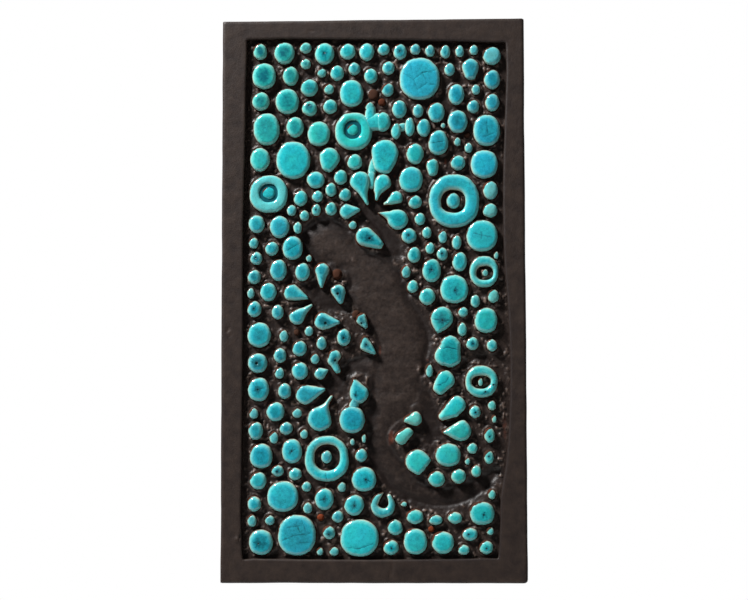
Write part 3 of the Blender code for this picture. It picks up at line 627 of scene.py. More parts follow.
PITS = (
    # u, v, radius: pinholes where gas broke through the glaze
    (51.6, 265, 0.55), (89.7, 265.6, 0.5), (47.4, 185.7, 0.5), (93.9, 172.5, 0.55), (74.4, 171, 0.8),
    (17.2, 161.5, 0.5), (110.5, 163.2, 0.55), (105.2, 155, 0.5), (58.4, 143.3, 0.85), (116.9, 144.6, 0.5),
    (16.4, 136, 0.5), (52.3, 128.6, 0.9), (70.2, 128.5, 0.7), (61.3, 121.1, 0.7), (72.6, 117.7, 0.6),
    (17.9, 108.7, 1.0), (18.5, 95.6, 0.6), (110.5, 129.8, 0.55), (125.7, 118.1, 0.5), (135.6, 97.7, 0.6),
    (131.7, 94.2, 0.55), (67.3, 92.7, 0.5), (126.8, 84, 0.6), (133.6, 72, 0.5), (133.2, 62.2, 0.5),
    (35.5, 65, 0.5), (28.2, 54.9, 0.5), (72.3, 51, 0.55), (51.5, 41.3, 0.5), (66.6, 38, 0.5),
    (130.5, 33.6, 0.5), (53.9, 24, 0.5), (123, 24, 0.5), (84.9, 17.2, 0.5), (131.7, 17.1, 0.5),
    (19, 19.5, 0.5), (57, 110, 0.8), (40.5, 255.5, 0.5), (29.5, 252.5, 0.6), (44.0, 238.5, 0.6),
)
CRACKS = (
    # u, v to u, v, how dark: hair cracks
    (105.5, 130.6, 110.0, 129.7, 0.9), (110.0, 129.7, 114.0, 129.8, 0.9), (109.0, 116.2, 113.4, 116.4, 0.9),
    (113.4, 116.4, 118.0, 115.2, 0.9), (32.0, 164.5, 39.0, 168.5, 0.8), (72.6, 172.4, 76.3, 169.7, 0.9),
    (72.9, 170.2, 76.0, 172.2, 0.9), (34.0, 64.0, 37.2, 66.0, 0.8), (126.2, 173.4, 134.5, 171.4, 0.7),
    (130.0, 170.5, 130.6, 173.8, 0.6), (56.8, 144.9, 59.6, 141.9, 0.9), (50.6, 129.6, 54.0, 127.4, 0.9),
    (104.3, 218.6, 112.4, 219.9, 0.6), (133.0, 230.0, 133.4, 224.0, 0.5), (131.0, 221.5, 137.5, 224.0, 0.4),
    (62.5, 17.6, 68.5, 17.0, 0.8), (68.5, 17.0, 75.5, 19.4, 0.8), (108.0, 97.8, 112.0, 99.2, 0.9),
    (112.0, 99.2, 113.6, 101.6, 0.8), (52.9, 50.6, 52.3, 54.2, 0.9), (45.0, 68.8, 47.2, 66.6, 0.6),
    # The crazed net on the widest disc
    (91.5, 254.5, 96.5, 251.0, 0.45), (96.5, 251.0, 101.0, 254.6, 0.5), (101.0, 254.6, 107.8, 256.0, 0.9),
    (101.0, 254.6, 103.0, 249.0, 0.45), (103.0, 249.0, 98.5, 246.0, 0.4), (98.5, 246.0, 96.5, 251.0, 0.4),
    (103.0, 249.0, 108.0, 248.2, 0.4), (95.0, 259.0, 96.5, 251.0, 0.3),
    # Brush streaks on the deep blue disc
    (30.6, 20.8, 36.2, 23.4, 0.7), (36.2, 23.4, 44.6, 24.6, 0.6), (33.4, 27.4, 39.4, 28.2, 0.5),
    (38.0, 19.8, 43.6, 20.2, 0.55), (40.6, 30.6, 42.4, 25.8, 0.5), (37.8, 29.8, 39.6, 24.8, 0.5),
)
FILMS = (
    # Two circles, each u, v and width, and the height of the glaze that ran from dot to dot between them
    ((74.8, 229.4, 7.4), (78.6, 230.2, 8.0), 11.9), ((74.8, 231.6, 5.4), (74.9, 236.6, 4.4), 11.8),
    ((66.1, 86.6, 4.2), (66.9, 90.4, 3.8), 11.7), ((76.6, 210.6, 3.2), (75.2, 203.4, 3.6), 10.6),
    ((75.2, 203.4, 3.6), (75.2, 198.0, 2.4), 10.6), ((89.0, 227.0, 3.4), (93.4, 228.0, 3.6), 10.3),
)
FILM_SIDES = 24
PIT_RINGS = ((0.0, 1), (0.5, 6), (0.9, 9), (1.35, 12))
CRACK_WIDE = 0.2
SPOKES = (3, 6)
SPOKE_PIT = 0.5
SPOKE_REACH = (1.6, 4.2)
SPOKE_DARK = (0.45, 0.95)
CRACK_SIDES = (-0.4, 0, 0.4)
CRACK_DEEP = 0.12
PIT_DEEP = 0.7
PIT_DARK = 1.6
STAIN_DARK = 0.5
WAVER = 0.35


def ring_points(centre, radius, count):
    """Points at even steps round a circle."""
    turn = 2 * np.pi * np.arange(count) / count
    return np.asarray(centre) + radius * np.column_stack([np.cos(turn), np.sin(turn)])


def film_outline(*circles):
    """The skin stretched round two circles."""
    out = ring_points((0, 0), 1, FILM_SIDES)
    edges = [frame_mm(u, v) + out * width / 2 for u, v, width in circles]
    reach = np.array([(edge * out).sum(axis=1) for edge in edges])
    return np.array(edges)[reach.argmax(axis=0), np.arange(FILM_SIDES)]


def own_amount(table, form, otherwise):
    """This dot's own number from a table of places, or the usual one."""
    for u, v, amount in table:
        if is_inside(form["loops"][:1], frame_mm(u, v)[None])[0]:
            return amount
    return otherwise


def marks_on(form):
    """The pits and cracks on one dot, and the extra points that draw them."""
    pits = [(frame_mm(u, v), radius) for u, v, radius in PITS]
    pits = [(place, radius) for place, radius in pits if is_inside(form["loops"], place[None])[0]]
    cracks = [(frame_mm(u0, v0), frame_mm(u1, v1), dark) for u0, v0, u1, v1, dark in CRACKS]
    for place, radius in pits:
        rng = np.random.default_rng(round(abs(place[0] * 31 + place[1] * 7)))
        for turn in rng.uniform(0, 2 * np.pi, rng.integers(*SPOKES)) if radius >= SPOKE_PIT else ():
            way = np.array([math.cos(turn), math.sin(turn)])
            cracks.append((place, place + way * radius * rng.uniform(*SPOKE_REACH), rng.uniform(*SPOKE_DARK)))
    cracks = [crack for crack in cracks if is_inside(form["loops"], (crack[0] + crack[1])[None] / 2)[0]]
    dense = [ring_points(place, radius * share, count)
             for place, radius in pits for share, count in PIT_RINGS]
    for start, end, _ in cracks:
        along = end - start
        across = np.array([-along[1], along[0]]) / np.linalg.norm(along)
        places = start + np.linspace(0, 1, max(3, round(np.linalg.norm(along) / 0.4)))[:, None] * along
        places = places + across * 0.15 * rough_noise(places[:, 0], places[:, 1], 1.5, 33)[:, None]
        dense += [places + across * side for side in CRACK_SIDES]
    return pits, cracks, np.vstack(dense) if dense else np.zeros((0, 2))


def marks_at(form, flat):
    """How deep the marks go at these places, and how dark they are."""
    sunk, dark = np.zeros(len(flat)), np.zeros(len(flat))
    x, z = flat[:, 0], flat[:, 1]
    wavy = flat + WAVER * np.column_stack([rough_noise(x, z, 2.2, 35), rough_noise(x, z, 2.2, 38)])
    for place, radius in form["pits"]:
        away = np.linalg.norm(flat - place, axis=1) / radius
        sunk = np.maximum(sunk, PIT_DEEP * radius * (1 - smooth_step(away, 0.1, 1.1)))
        dark = np.maximum(dark, PIT_DARK * (1 - smooth_step(away, 0.5, 1.3)))
        dark = np.maximum(dark, STAIN_DARK * (1 - smooth_step(away, 1.0, 3.5)))
    for start, end, strength in form["cracks"]:
        run = end - start
        share = np.clip((wavy - start) @ run / (run @ run), 0, 1)
        away = np.linalg.norm(wavy - start - share[:, None] * run, axis=1)
        line = np.exp(-(away / CRACK_WIDE) ** 2)
        sunk = np.maximum(sunk, CRACK_DEEP * line)
        dark = np.maximum(dark, strength * line)
    return sunk, dark


# %% Dots as pillows of clay
DOT_SPACING = 0.72
GLAZE_LIP = 0.32
SWELL_MOST = 0.6
SHOULDER_MOST = 1.9
SHOULDER_SHARE = 0.66
SHOULDER_DROP = 0.72
INSET_SHARES = (0.05, 0.18, 0.38, 0.66, 1.0)
GROOVE_SHOULDER = (1.1, 0.7)
UNDER_GLAZE = 4.0
TILT = 0.025
USUAL_BALD = (0.25, 0.95)
WALL = ((10.2, 0.1), (9.2, 0.3), (6.9, 0.8))
BARE_BELOW = FLOOR_HEIGHT + 2.0
GROOVE_BELOW = FLOOR_HEIGHT + 2.5


def handmade(loop, size):
    """The outline with the small flats and bulges that a trimming knife leaves."""
    wave = min(0.26, 0.045 * size) * rough_noise(loop[:, 0], loop[:, 1], 3.4, 91)
    return loop - inward(loop) * (GLAZE_LIP + wave)[:, None]


def dot_forms():
    """Every dot's outlines, height, swell, tilt and marks, worked out from its flat patch in the solid."""
    rng = np.random.default_rng(11)
    forms = []
    films = [(level, [film_outline(one, other)]) for one, other, level in FILMS]
    for height, outlines in raised + films:
        size = np.ptp(outlines[0], axis=0).mean()
        groove = BARE_BELOW < height < GROOVE_BELOW
        loops = [closed_curve(loop, DOT_SPACING) for loop in outlines]
        if not groove:
            loops = [handmade(loop, size) for loop in loops]
        corner, far = loops[0].min(0), loops[0].max(0)
        across, upward = (np.arange(corner[axis], far[axis], 0.4) for axis in (0, 1))
        tries = np.stack(np.meshgrid(across, upward), -1).reshape(-1, 2)
        tries = tries[is_inside(loops, tries)]
        form = {
            "loops": loops, "centre": loops[0].mean(0), "height": height + rng.normal(0, 0.1),
            "widest": max(0.5, distance_to(loops, tries).max()), "tilt": rng.normal(0, TILT, 2),
            "bare": height < BARE_BELOW and len(forms) < len(raised), "groove": groove,
            "ember": rng.uniform(0, 0.25),
        }
        tone, pool = region(*face_mm(*form["centre"]))
        form["tone"] = min(1, max(0, tone + rng.normal(0, 0.07)))
        form["pool"] = max(0, pool + rng.normal(0, 0.1))
        form["milk"] = 0 if groove else own_amount(PALE, form, rng.uniform(0, 0.06))
        form["bald"] = own_amount(BALD, form, rng.uniform(*USUAL_BALD))
        if form["bare"]:
            form["ember"] = own_amount(FIRED_ORANGE, form, 0.05)
        form["pits"], form["cracks"], form["dense"] = marks_on(form)
        forms.append(form)
    grooves = [loop for form in forms if form["groove"] for loop in form["loops"]]
    for form in forms:
        grooved = [any(same_outline(loop, other) for other in grooves) for loop in form["loops"]]
        form["sharp"] = [loop for loop, soft in zip(form["loops"], grooved) if not soft]
        form["soft"] = [loop for loop, soft in zip(form["loops"], grooved) if soft]
    return forms


def same_outline(one, other):
    """Whether two outlines run along each other, as a groove's does along its ring's."""
    apart = np.linalg.norm(one.mean(0) - other.mean(0))
    return apart < 0.8 and abs(np.ptp(one, axis=0).mean() - np.ptp(other, axis=0).mean()) < 1.5


def rounded(distance, width, drop):
    """How far a quarter round shoulder of this width falls below the top, this far in from the rim."""
    inset = np.clip(distance / width, 0, 1)
    return drop * (np.sqrt(1 - (1 - inset) ** 2) - 1)


def top_height(form, flat):
    """The height of a dot's top at these places."""
    shoulder = min(SHOULDER_MOST, SHOULDER_SHARE * form["widest"])
    from_rim, from_groove = distance_to(form["sharp"], flat), distance_to(form["soft"], flat)
    shape = np.minimum(rounded(from_rim, shoulder, shoulder * SHOULDER_DROP),
                       rounded(from_groove, *GROOVE_SHOULDER))
    middle = np.clip(np.minimum(from_rim, from_groove) / form["widest"], 0, 1)
    shape = shape + SWELL_MOST * min(1, form["widest"] / 5) * (1 - (1 - middle) ** 2)
    if form["groove"]:
        shape = 0
    lean = (flat - form["centre"]) @ form["tilt"]
    uneven = 0.07 * rough_noise(flat[:, 0], flat[:, 1], 2.5, 71)
    return form["height"] + shape + lean + uneven


forms = dot_forms()
print(len(forms), "dots, the widest", round(2 * max(form["widest"] for form in forms), 1), "mm")

# %% One mesh for all the dots
UPPER_LEFT = np.array([-0.7, 0.7])
SHOULDER_BARE = 0.65
FULL_AT_LOWER_RIGHT = 0.55
WALL_COVERS = (0.8, 0.1, 0.0, 0.0)
# Painted shade: how much darker the glaze is made on the walls of the dots.
PAINTED_WALL_SHADE = 0.45
WALL_ROUGH = 0.1
# Grooves get a darker glaze: partly glaze pooled in them, partly painted shade in the recess.
GROOVE_DARK = 0.95
BALD_START = 0.4
BALD_WAVER = 0.22
BALD_BEST_MM = 3.0
RING_HOLD = 0.25
FULL_COVER = 1.25
OWN_VALUES = ("tone", "pool", "milk", "ember")
PLACE_VALUES = ("rim_mm", "heart", "cover", "dark")


def up_and_left(form, flat):
    """How far towards the upper left of its dot a place lies: 1 at that rim and -1 at the far one."""
    reach = ((form["loops"][0] - form["centre"]) @ UPPER_LEFT).max()
    return (flat - form["centre"]) @ UPPER_LEFT / reach


def glaze_cover(form, flat, from_rim):
    """How well the glaze covers these places: it drew back from the upper left shoulder of many dots."""
    if form["bare"]:
        return np.zeros(len(flat))
    towards = up_and_left(form, flat)
    hold = min(1.0, BALD_BEST_MM / form["widest"]) * (RING_HOLD if len(form["loops"]) > 1 else 1)
    shoulder = smooth_step(towards, 0.1, 0.8) * (1 - smooth_step(from_rim, 0.3, 1.3))
    start = BALD_START - 0.35 * max(0, form["bald"] - 1)
    towards = towards + BALD_WAVER * rough_noise(flat[:, 0], flat[:, 1], 2.6, 77)
    return FULL_COVER - form["bald"] * hold * smooth_step(towards, start, 1.1) - SHOULDER_BARE * shoulder


def build_dots():
    """All the dots as one mesh, with the values that the glaze needs stored on its points."""
    points, faces, offset = [], [], 0
    values = {name: [] for name in OWN_VALUES + PLACE_VALUES}
    for number, form in enumerate(forms):
        loops = form["loops"]
        shoulder = min(SHOULDER_MOST, SHOULDER_SHARE * form["widest"])
        insets = [] if form["groove"] else [share * shoulder for share in INSET_SHARES]
        spacing = min(1.0, 0.5 * form["widest"])
        flat, triangles, distance = sheet(loops, insets, spacing, number, form["dense"])
        top = top_height(form, flat)
        sunk, dark = marks_at(form, flat)
        covers = glaze_cover(form, flat, np.minimum(distance, distance_to(form["sharp"], flat)))
        # A groove's glaze is darkened: partly pooled glaze, partly painted shade in the recess.
        if form["groove"]:
            dark = dark + GROOVE_DARK
        parts = [(at_height(flat, top - sunk), triangles, distance, covers, dark)]
        start = 0
        for loop in [] if form["groove"] else loops:
            count = len(loop)
            outward = -inward(loop)
            covers = glaze_cover(form, loop, np.zeros(count))
            sheltered = 1 - (loop is loops[0]) * smooth_step(up_and_left(form, loop), -0.3, 0.6)
            rings, wall_covers = [(loop, top[start:start + count])], [covers]
            drop = form["height"] - shoulder * SHOULDER_DROP
            for level, lean in ((drop - 0.45, 0.05),) + WALL:
                if level > drop - 0.2:
                    continue
                place = loop + outward * lean
                rough = WALL_ROUGH * rough_noise(place[:, 0], place[:, 1] + level * 7, 1.5, 5)
                place = place + outward * rough[:, None]
                rings.append((place, level))
                wall_covers.append(covers * sheltered * WALL_COVERS[len(rings) - 2])
            wall = np.vstack([at_height(place, level) for place, level in rings])
            # The wall rings below each rim carry the painted wall shade in their dark value.
            parts.append((wall, split_quads(strip(count, len(rings))[:, ::-1]), np.zeros(len(wall)),
                          np.concatenate(wall_covers), np.repeat([0, PAINTED_WALL_SHADE], [count, len(wall) - count])))
            start += count
        for part_points, part_faces, part_distance, part_cover, part_dark in parts:
            points.append(part_points)
            faces.append(part_faces + offset)
            offset += len(part_points)
            part_flat = part_points[:, [0, 2]]
            if part_distance.any():
                part_distance = np.minimum(distance_to(form["sharp"], part_flat), UNDER_GLAZE)
            rim = part_distance + FULL_AT_LOWER_RIGHT * smooth_step(-up_and_left(form, part_flat), -0.1, 0.7)
            heart = part_distance / form["widest"]
            for name, value in zip(PLACE_VALUES, (rim, heart, part_cover, part_dark)):
                values[name].append(value)
            for name in OWN_VALUES:
                values[name].append(np.full(len(part_flat), form[name]))
    values = {name: np.concatenate(parts) for name, parts in values.items()}
    return new_piece("glazed_dots", np.vstack(points), np.vstack(faces), glaze, **values)


dots = build_dots()
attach(dots, "root")
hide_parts("lizard_tile")

# %% [markdown]
# ## The carved ground and the lizard
#
# Between the dots lies one sheet of clay, with the lizard pressed into it. A fine grid of heights suits
# that: the solid's sunken floors are drawn into the grid as depths, and a blur gives them the soft edges of
# pressed clay. Burrs pushed up by the loop tool stand round the dots, and noise adds the crumbs it left.

# %% A grid of heights for the ground
GRID = 0.52
BESIDE_DOT = 1.8
CORNER_REACH = 3.5
CORNER_PUSH = 0.8
EDGE_SPACING = 0.8
GRID_MARGIN = 1.5
FAR_FROM_DOTS = 9.0
NEAR_DOT = 4.0


def eased(loop, times):
    """The closed line with its corners worn round."""
    for _ in range(times):
        loop = (np.roll(loop, 1, axis=0) + loop + np.roll(loop, -1, axis=0)) / 3
    return loop


def squared(loop):
    """The loop with its four corners cut out squarer, as a knife leaves them."""
    for ways in np.array([(-1, -1), (-1, 1), (1, -1), (1, 1)]):
        middle = loop[(loop @ ways).argmax()] - CORNER_REACH * ways / math.sqrt(2)
        out = (loop - middle) * ways
        corner = (out > 0).all(axis=1)
        push = (np.linalg.norm(out, axis=1) / np.abs(out).max(1)) ** CORNER_PUSH
        loop = np.where(corner[:, None], middle + (loop - middle) * push[:, None], loop)
    return even_steps(loop, EDGE_SPACING)


field_flat = min(border[1], key=lambda loop: np.ptp(loop[:, 1]))
field_edge = squared(eased(even_steps(field_flat, EDGE_SPACING), 1))
grid_x, grid_z = (np.arange(places.min() - GRID_MARGIN, places.max() + GRID_MARGIN, GRID)
                  for places in field_edge.T)
shape = (len(grid_z), len(grid_x))
print("ground grid:", shape)


def window(low_corner, high_corner, margin):
    """The part of the grid round a box, as row and column slices, and its points."""
    columns = slice(*np.searchsorted(grid_x, (low_corner[0] - margin, high_corner[0] + margin)))
    rows = slice(*np.searchsorted(grid_z, (low_corner[1] - margin, high_corner[1] + margin)))
    xx, zz = np.meshgrid(grid_x[columns], grid_z[rows])
    return rows, columns, np.column_stack([xx.ravel(), zz.ravel()]), xx.shape


def blur(values, radius_mm):
    """A smooth blur: three passes of a moving average each way."""
    reach = max(1, round(radius_mm / GRID))
    kernel = np.ones(2 * reach + 1) / (2 * reach + 1)
    for _ in range(3):
        for axis in (0, 1):
            pad = [(0, 0), (0, 0)]
            pad[axis] = (reach, reach)
            padded = np.pad(values, pad, mode="edge")
            values = np.apply_along_axis(np.convolve, axis, padded, kernel, "valid")
    return values


depth = np.zeros(shape)
for height, outlines in sunken:
    rows, columns, places, size = window(outlines[0].min(0), outlines[0].max(0), GRID)
    inside = is_inside(outlines, places).reshape(size)
    depth[rows, columns] = np.where(inside, FLOOR_HEIGHT - height, depth[rows, columns])


def grown(values, reach_mm):
    """The values with every high place spread this far, square cell by square cell."""
    for _ in range(round(reach_mm / GRID)):
        pad = np.pad(values, 1, mode="edge")
        values = np.max([pad[1:-1, 1:-1], pad[:-2, 1:-1], pad[2:, 1:-1], pad[1:-1, :-2], pad[1:-1, 2:]],
                        axis=0)
    return values


to_dot = np.full(shape, FAR_FROM_DOTS)
for height, outlines in raised:
    rows, columns, places, size = window(outlines[0].min(0), outlines[0].max(0), NEAR_DOT)
    loops = [closed_curve(loop, 1.0) for loop in outlines]
    gap = distance_to(loops, places).reshape(size)
    inside = is_inside(loops, places).reshape(size)
    to_dot[rows, columns] = np.minimum(to_dot[rows, columns], np.where(inside, -gap, gap))
depth = np.where(to_dot < BESIDE_DOT, grown(depth, BESIDE_DOT), depth)
print("deepest floor", depth.max(), "mm under the field")

# %% The ground mesh
WALL_BLUR, SLOPE_BLUR, BELLY_BLUR = 0.5, 2.2, 4.5
BELLY_RISE = 1.45
BURR_AWAY, BURR_WIDE = 1.15, 0.4
FOOT_HIGH, FOOT_WIDE = 0.5, 0.4
EMBERS = (
    # u, v, reach across, reach up, strength: where the clay fired orange
    (85.0, 71.5, 2.0, 4.5, 0.6), (79.2, 115.0, 0.9, 4.0, 0.45), (141.0, 77.0, 2.0, 12.0, 0.35),
    (103.0, 110.0, 1.6, 1.3, 0.4), (104.4, 26.6, 2.0, 1.8, 0.5), (112.3, 210.0, 0.9, 2.2, 0.6),
    (86.5, 202.8, 1.3, 1.3, 0.5), (50.2, 44.5, 0.8, 1.4, 0.4),
)
TORN = (
    # u, v, reach across, reach up, strength: where the tool left curls and crumbs
    (129.6, 99.1, 4.6, 3.2, 2.2), (131.7, 153.4, 4.0, 3.4, 2.0), (66.5, 134.0, 2.6, 3.4, 0.7),
    (99.0, 105.5, 1.6, 2.4, 0.6), (122.5, 111.0, 2.2, 1.0, 0.6), (136.0, 50.0, 3.2, 2.6, 0.5),
    (99.5, 69.0, 1.8, 1.4, 0.8), (63.0, 160.0, 4.0, 1.6, 0.4), (82.0, 248.2, 2.2, 1.8, 0.6),
)


def patches_of(table, uu, vv):
    """The strength of a table's soft patches at these places, the strongest where they overlap."""
    total = np.zeros(uu.shape)
    for u, v, across, upward, strength in table:
        total = np.maximum(total, strength * np.exp(-((uu - u) / across) ** 2 - ((vv - v) / upward) ** 2))
    return total


def build_ground():
    """The floor of the field and the lizard as one grid, cut out where the dots stand."""
    xx, zz = np.meshgrid(grid_x, grid_z)
    uu, vv = face_mm(xx, zz)
    flat = np.column_stack([xx.ravel(), zz.ravel()])
    to_edge = distance_to([even_steps(field_edge, 3.0)], flat)
    sunk = np.maximum(blur(depth, WALL_BLUR), 0.9 * blur(depth, SLOPE_BLUR))
    lizard = smooth_step(blur(sunk, 1.0), 0.35, 1.2)
    belly = smooth_step(blur(np.minimum(depth, 1.5), BELLY_BLUR), 0.6, 1.5)
    wild = (1 - 0.92 * lizard) * (1 - 0.7 * np.exp(-(to_edge.reshape(shape) / 1.4) ** 2))
    height = FLOOR_HEIGHT - sunk + BELLY_RISE * belly
    height += 0.2 * rough_noise(xx, zz, 14, 21) + wild * 0.12 * rough_noise(xx, zz, 4, 25)
    streak = rough_noise(xx, zz * 2.6, 11, 27)
    height += lizard * 0.2 * streak
    torn = patches_of(TORN, uu, vv)
    wild = np.maximum(wild, np.minimum(torn, 1))
    curls = torn * np.clip(rough_noise(xx, zz, 1.9, 45, 2) * 1.8, 0, 1)
    burr = np.exp(-((to_dot - BURR_AWAY) / BURR_WIDE) ** 2)
    burr *= np.clip(rough_noise(xx, zz, 3.2, 31) * 1.4 + 0.2, 0, 1)
    crumbs = np.clip(rough_noise(xx, zz, 1.7, 41, 2) * 2.4 - 0.75, 0, 1)
    foot = FOOT_HIGH * np.exp(-np.clip(to_dot, 0, 9) / FOOT_WIDE)
    height += wild * (1.0 * burr + 0.9 * crumbs + foot) + 1.1 * curls + 0.4 * torn
    height += wild * 0.1 * rough_noise(xx, zz, 1.3, 51, 2)
    # Burrs, crumbs and curls are made paler: partly the paler torn clay, partly painted light where the
    # raised bits catch the lamp.
    crumb = wild * (0.35 * burr + 0.7 * crumbs) + 0.6 * curls
    # Painted light and shade on the lizard: its belly and streaks are made paler, and its edges and narrow
    # tail darker.
    crumb = np.clip(crumb + lizard * (0.024 * belly * (1 + streak) - 0.09 * (1 - belly)), -0.12, 1)
    ember = patches_of(EMBERS, uu, vv)
    inside = is_inside([field_edge], flat)
    keep = (inside | (to_edge < 0.8)).reshape(shape) & (to_dot > -0.9)
    index = np.arange(len(flat)).reshape(shape)
    quads = np.column_stack([index[:-1, :-1].ravel(), index[:-1, 1:].ravel(),
                             index[1:, 1:].ravel(), index[1:, :-1].ravel()])
    quads = quads[keep.ravel()[quads].all(axis=1)]
    used, packed = np.unique(quads, return_inverse=True)
    points = at_height(flat, height.ravel())[used]
    return new_piece("carved_ground", points, packed.reshape(-1, 4), ground_clay, crumb=crumb.ravel()[used],
                     ember=ember.ravel()[used], smooth=lizard.ravel()[used])


ground = build_ground()
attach(ground, "root")
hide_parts("lizard_tile")

# %% [markdown]
# ## The slab
#
# The plain border, the four sides and the back are one skin. It is lofted: rings of points run from the
# wall of the field, over the border, round the edges and onto the back, and each ring is moved a little by
# noise.

# %% Border, sides and back
EDGE_STEP = 0.9
BACK_SPACING = 3.5
BACK_INSET = 0.8
SLOT_LIP = 0.5
SLOT_SPACING = 1.5
BORDER_STEPS = 14
# Rings of the skin, each moved outwards or inwards by so many millimetres, and its height above the back
FIELD_WALL = ((-0.3, 7.6), (-0.22, 9.4), (-0.16, 10.6), (-0.08, 11.4), (0.04, 11.8), (0.25, 11.97))
FRONT_EDGE = ((0.9, 11.93), (0.45, 11.7), (0.15, 11.3), (0.02, 10.8))
SIDES = ((0.0, 9.0), (0.0, 7.2), (0.0, 5.4), (0.0, 3.6), (0.0, 2.0), (0.0, 0.8))
BACK_EDGE = ((0.25, 0.25), (0.8, 0.0))
WOBBLE = 0.22
SCARS = (
    # u, v, reach across, reach up, raised or sunk by, how pale: knocks and lumps on the border
    (3.4, 125.5, 0.9, 1.2, -0.5, 0.9), (4.6, 122.8, 1.0, 0.7, -0.3, 0.5), (8.4, 21.4, 1.4, 0.9, 0.6, 0.7),
    (10.0, 22.4, 0.8, 1.2, -0.8, 0.0), (85.4, 8.4, 0.5, 2.6, -0.3, 0.5), (84.4, 4.4, 0.5, 2.2, -0.3, 0.4),
    (45.0, 276.4, 1.6, 0.6, -0.2, 0.5), (46.5, 271.8, 0.7, 0.6, 0.0, 0.7), (11.0, 236.0, 0.6, 3.0, 0.2, 0.5),
    (139.4, 1.4, 2.4, 0.6, 0.0, 0.5), (10.4, 101.0, 0.5, 0.7, 0.2, 0.7),
)
outer_flat = max(border[1], key=lambda loop: np.ptp(loop[:, 1]))
half = np.array([HALF_WIDTH, HALF_HEIGHT])
outer_edge = even_steps(outer_flat * half / np.abs(outer_flat).max(0), EDGE_STEP)


def same_way(loop, angles):
    """Points of an outline at these directions from the middle, as if the tile were square."""
    fine = even_steps(loop, 0.25)
    angle = np.arctan2(fine[:, 1] / np.abs(fine[:, 1]).max(), fine[:, 0] / np.abs(fine[:, 0]).max())
    order = np.argsort(angle)
    return np.column_stack([np.interp(angles, angle[order], fine[order, axis], period=2 * np.pi)
                            for axis in (0, 1)])


def welded(point_parts, face_parts, first_count):
    """One mesh from parts, where points at the same place become one. The first part's faces come first."""
    points = np.vstack(point_parts)
    faces, offset = [face_parts[0]], first_count
    for part_points, part_faces in zip(point_parts[-len(face_parts) + 1:], face_parts[1:]):
        faces.append(part_faces + offset)
        offset += len(part_points)
    _, first, place = np.unique(np.round(points, 4), axis=0, return_index=True, return_inverse=True)
    return points[first], place.ravel()[np.vstack(faces)]


def build_back(rim):
    """The flat back inside the slab's last ring, with the slot for a nail read from the solid."""
    slot_height = max(patch[0] for patch in back_patches)
    back_loops = min(back_patches, key=lambda patch: patch[0])[1]
    mouth = eased(even_steps(back_loops[1][::-1], 0.6), 1)
    lip = mouth - inward(mouth) * SLOT_LIP
    flat, triangles, distance = sheet([rim, lip[::-1]], [BACK_INSET], BACK_SPACING, 5)
    uneven = smooth_step(distance, 0, 6) * (0.09 + 0.09 * rough_noise(flat[:, 0], flat[:, 1], 16, 95))
    levels = ((lip, 0.0), (mouth - inward(mouth) * 0.2 * SLOT_LIP, 0.12), (mouth, 0.5), (mouth, 2.6),
              (mouth, slot_height - 0.5), (mouth + inward(mouth) * 0.35, slot_height))
    walls = np.vstack([at_height(place, level) for place, level in levels])
    floor_flat, floor_triangles, _ = sheet([levels[-1][0]], [], SLOT_SPACING, 7)
    print("slot for a nail:", np.round(np.ptp(mouth, axis=0), 1), "mm,", round(slot_height, 1), "mm deep")
    return ([at_height(flat, uneven), walls, at_height(floor_flat, slot_height)],
            [triangles[:, ::-1], split_quads(strip(len(mouth), len(levels))), floor_triangles[:, ::-1]])


def build_slab():
    """The border, the sides and the back as one lofted skin."""
    square = outer_edge / np.abs(outer_edge).max(0)
    angles = np.arctan2(square[:, 1], square[:, 0])
    inner = same_way(field_edge, angles)
    outer = outer_edge
    count = len(outer)
    inner_out, outer_out = -inward(inner), -inward(outer)
    if (inner_out * inner).sum() < 0:
        inner_out = -inner_out
    if (outer_out * outer).sum() < 0:
        outer_out = -outer_out
    wobble = WOBBLE * rough_noise(outer[:, 0], outer[:, 1], 22, 61)[:, None] * outer_out
    outer = outer + wobble
    rings = []
    for lean, level in FIELD_WALL:
        rings.append((inner + inner_out * lean, level))
    start, end = inner + inner_out * 1.0, outer * (1 - 1.4 / half)
    for share in np.linspace(0, 1, BORDER_STEPS):
        rings.append((start + (end - start) * share, FACE_HEIGHT))
    for inset, level in FRONT_EDGE + SIDES + BACK_EDGE:
        rings.append((outer * (1 - inset / half), level))
    points = []
    for place, level in rings:
        noise_here = 0.09 * rough_noise(place[:, 0], place[:, 1], 9, 81)
        noise_here = noise_here + 0.04 * rough_noise(place[:, 0], place[:, 1] + level * 3, 1.8, 85)
        points.append(at_height(place, level + noise_here if level > 0.1 else level))
    back_points, back_faces = build_back(rings[-1][0])
    quads = split_quads(strip(count, len(rings)))
    points, faces = welded(points + back_points, [quads] + back_faces, len(points) * count)
    uu, vv = face_mm(points[:, 0], points[:, 2])
    front = points[:, 1] > FACE_HEIGHT - 1.0
    crumb = np.clip(rough_noise(points[:, 0], points[:, 2], 1.7, 87, 2) * 2.6 - 1.75, 0, 1) * front
    for u, v, across, upward, raise_mm, pale in SCARS:
        near = front * np.exp(-((uu - u) / across) ** 2 - ((vv - v) / upward) ** 2)
        points[:, 1] += raise_mm * near
        crumb = np.maximum(crumb, pale * near)
    from_field = distance_to([even_steps(inner, 3.0)], points[:, [0, 2]])
    # Painted shade: the top of the field's wall is darkened on the right half of the border.
    crumb -= 0.9 * front * (from_field < 0.7) * smooth_step(uu, HALF_WIDTH, HALF_WIDTH + 40)
    bare = np.zeros(len(points))
    return new_piece("clay_slab", points, faces, border_clay, crumb=crumb, ember=bare, smooth=bare)


slab = build_slab()
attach(slab, "root")
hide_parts("lizard_tile")

# %% [markdown]
# ## Studio
#
# The photograph was lit from the upper left with one soft lamp, against white. The tile hangs free in the
# air here, since its wall isn't part of it, and a plain pale floor lies well below.

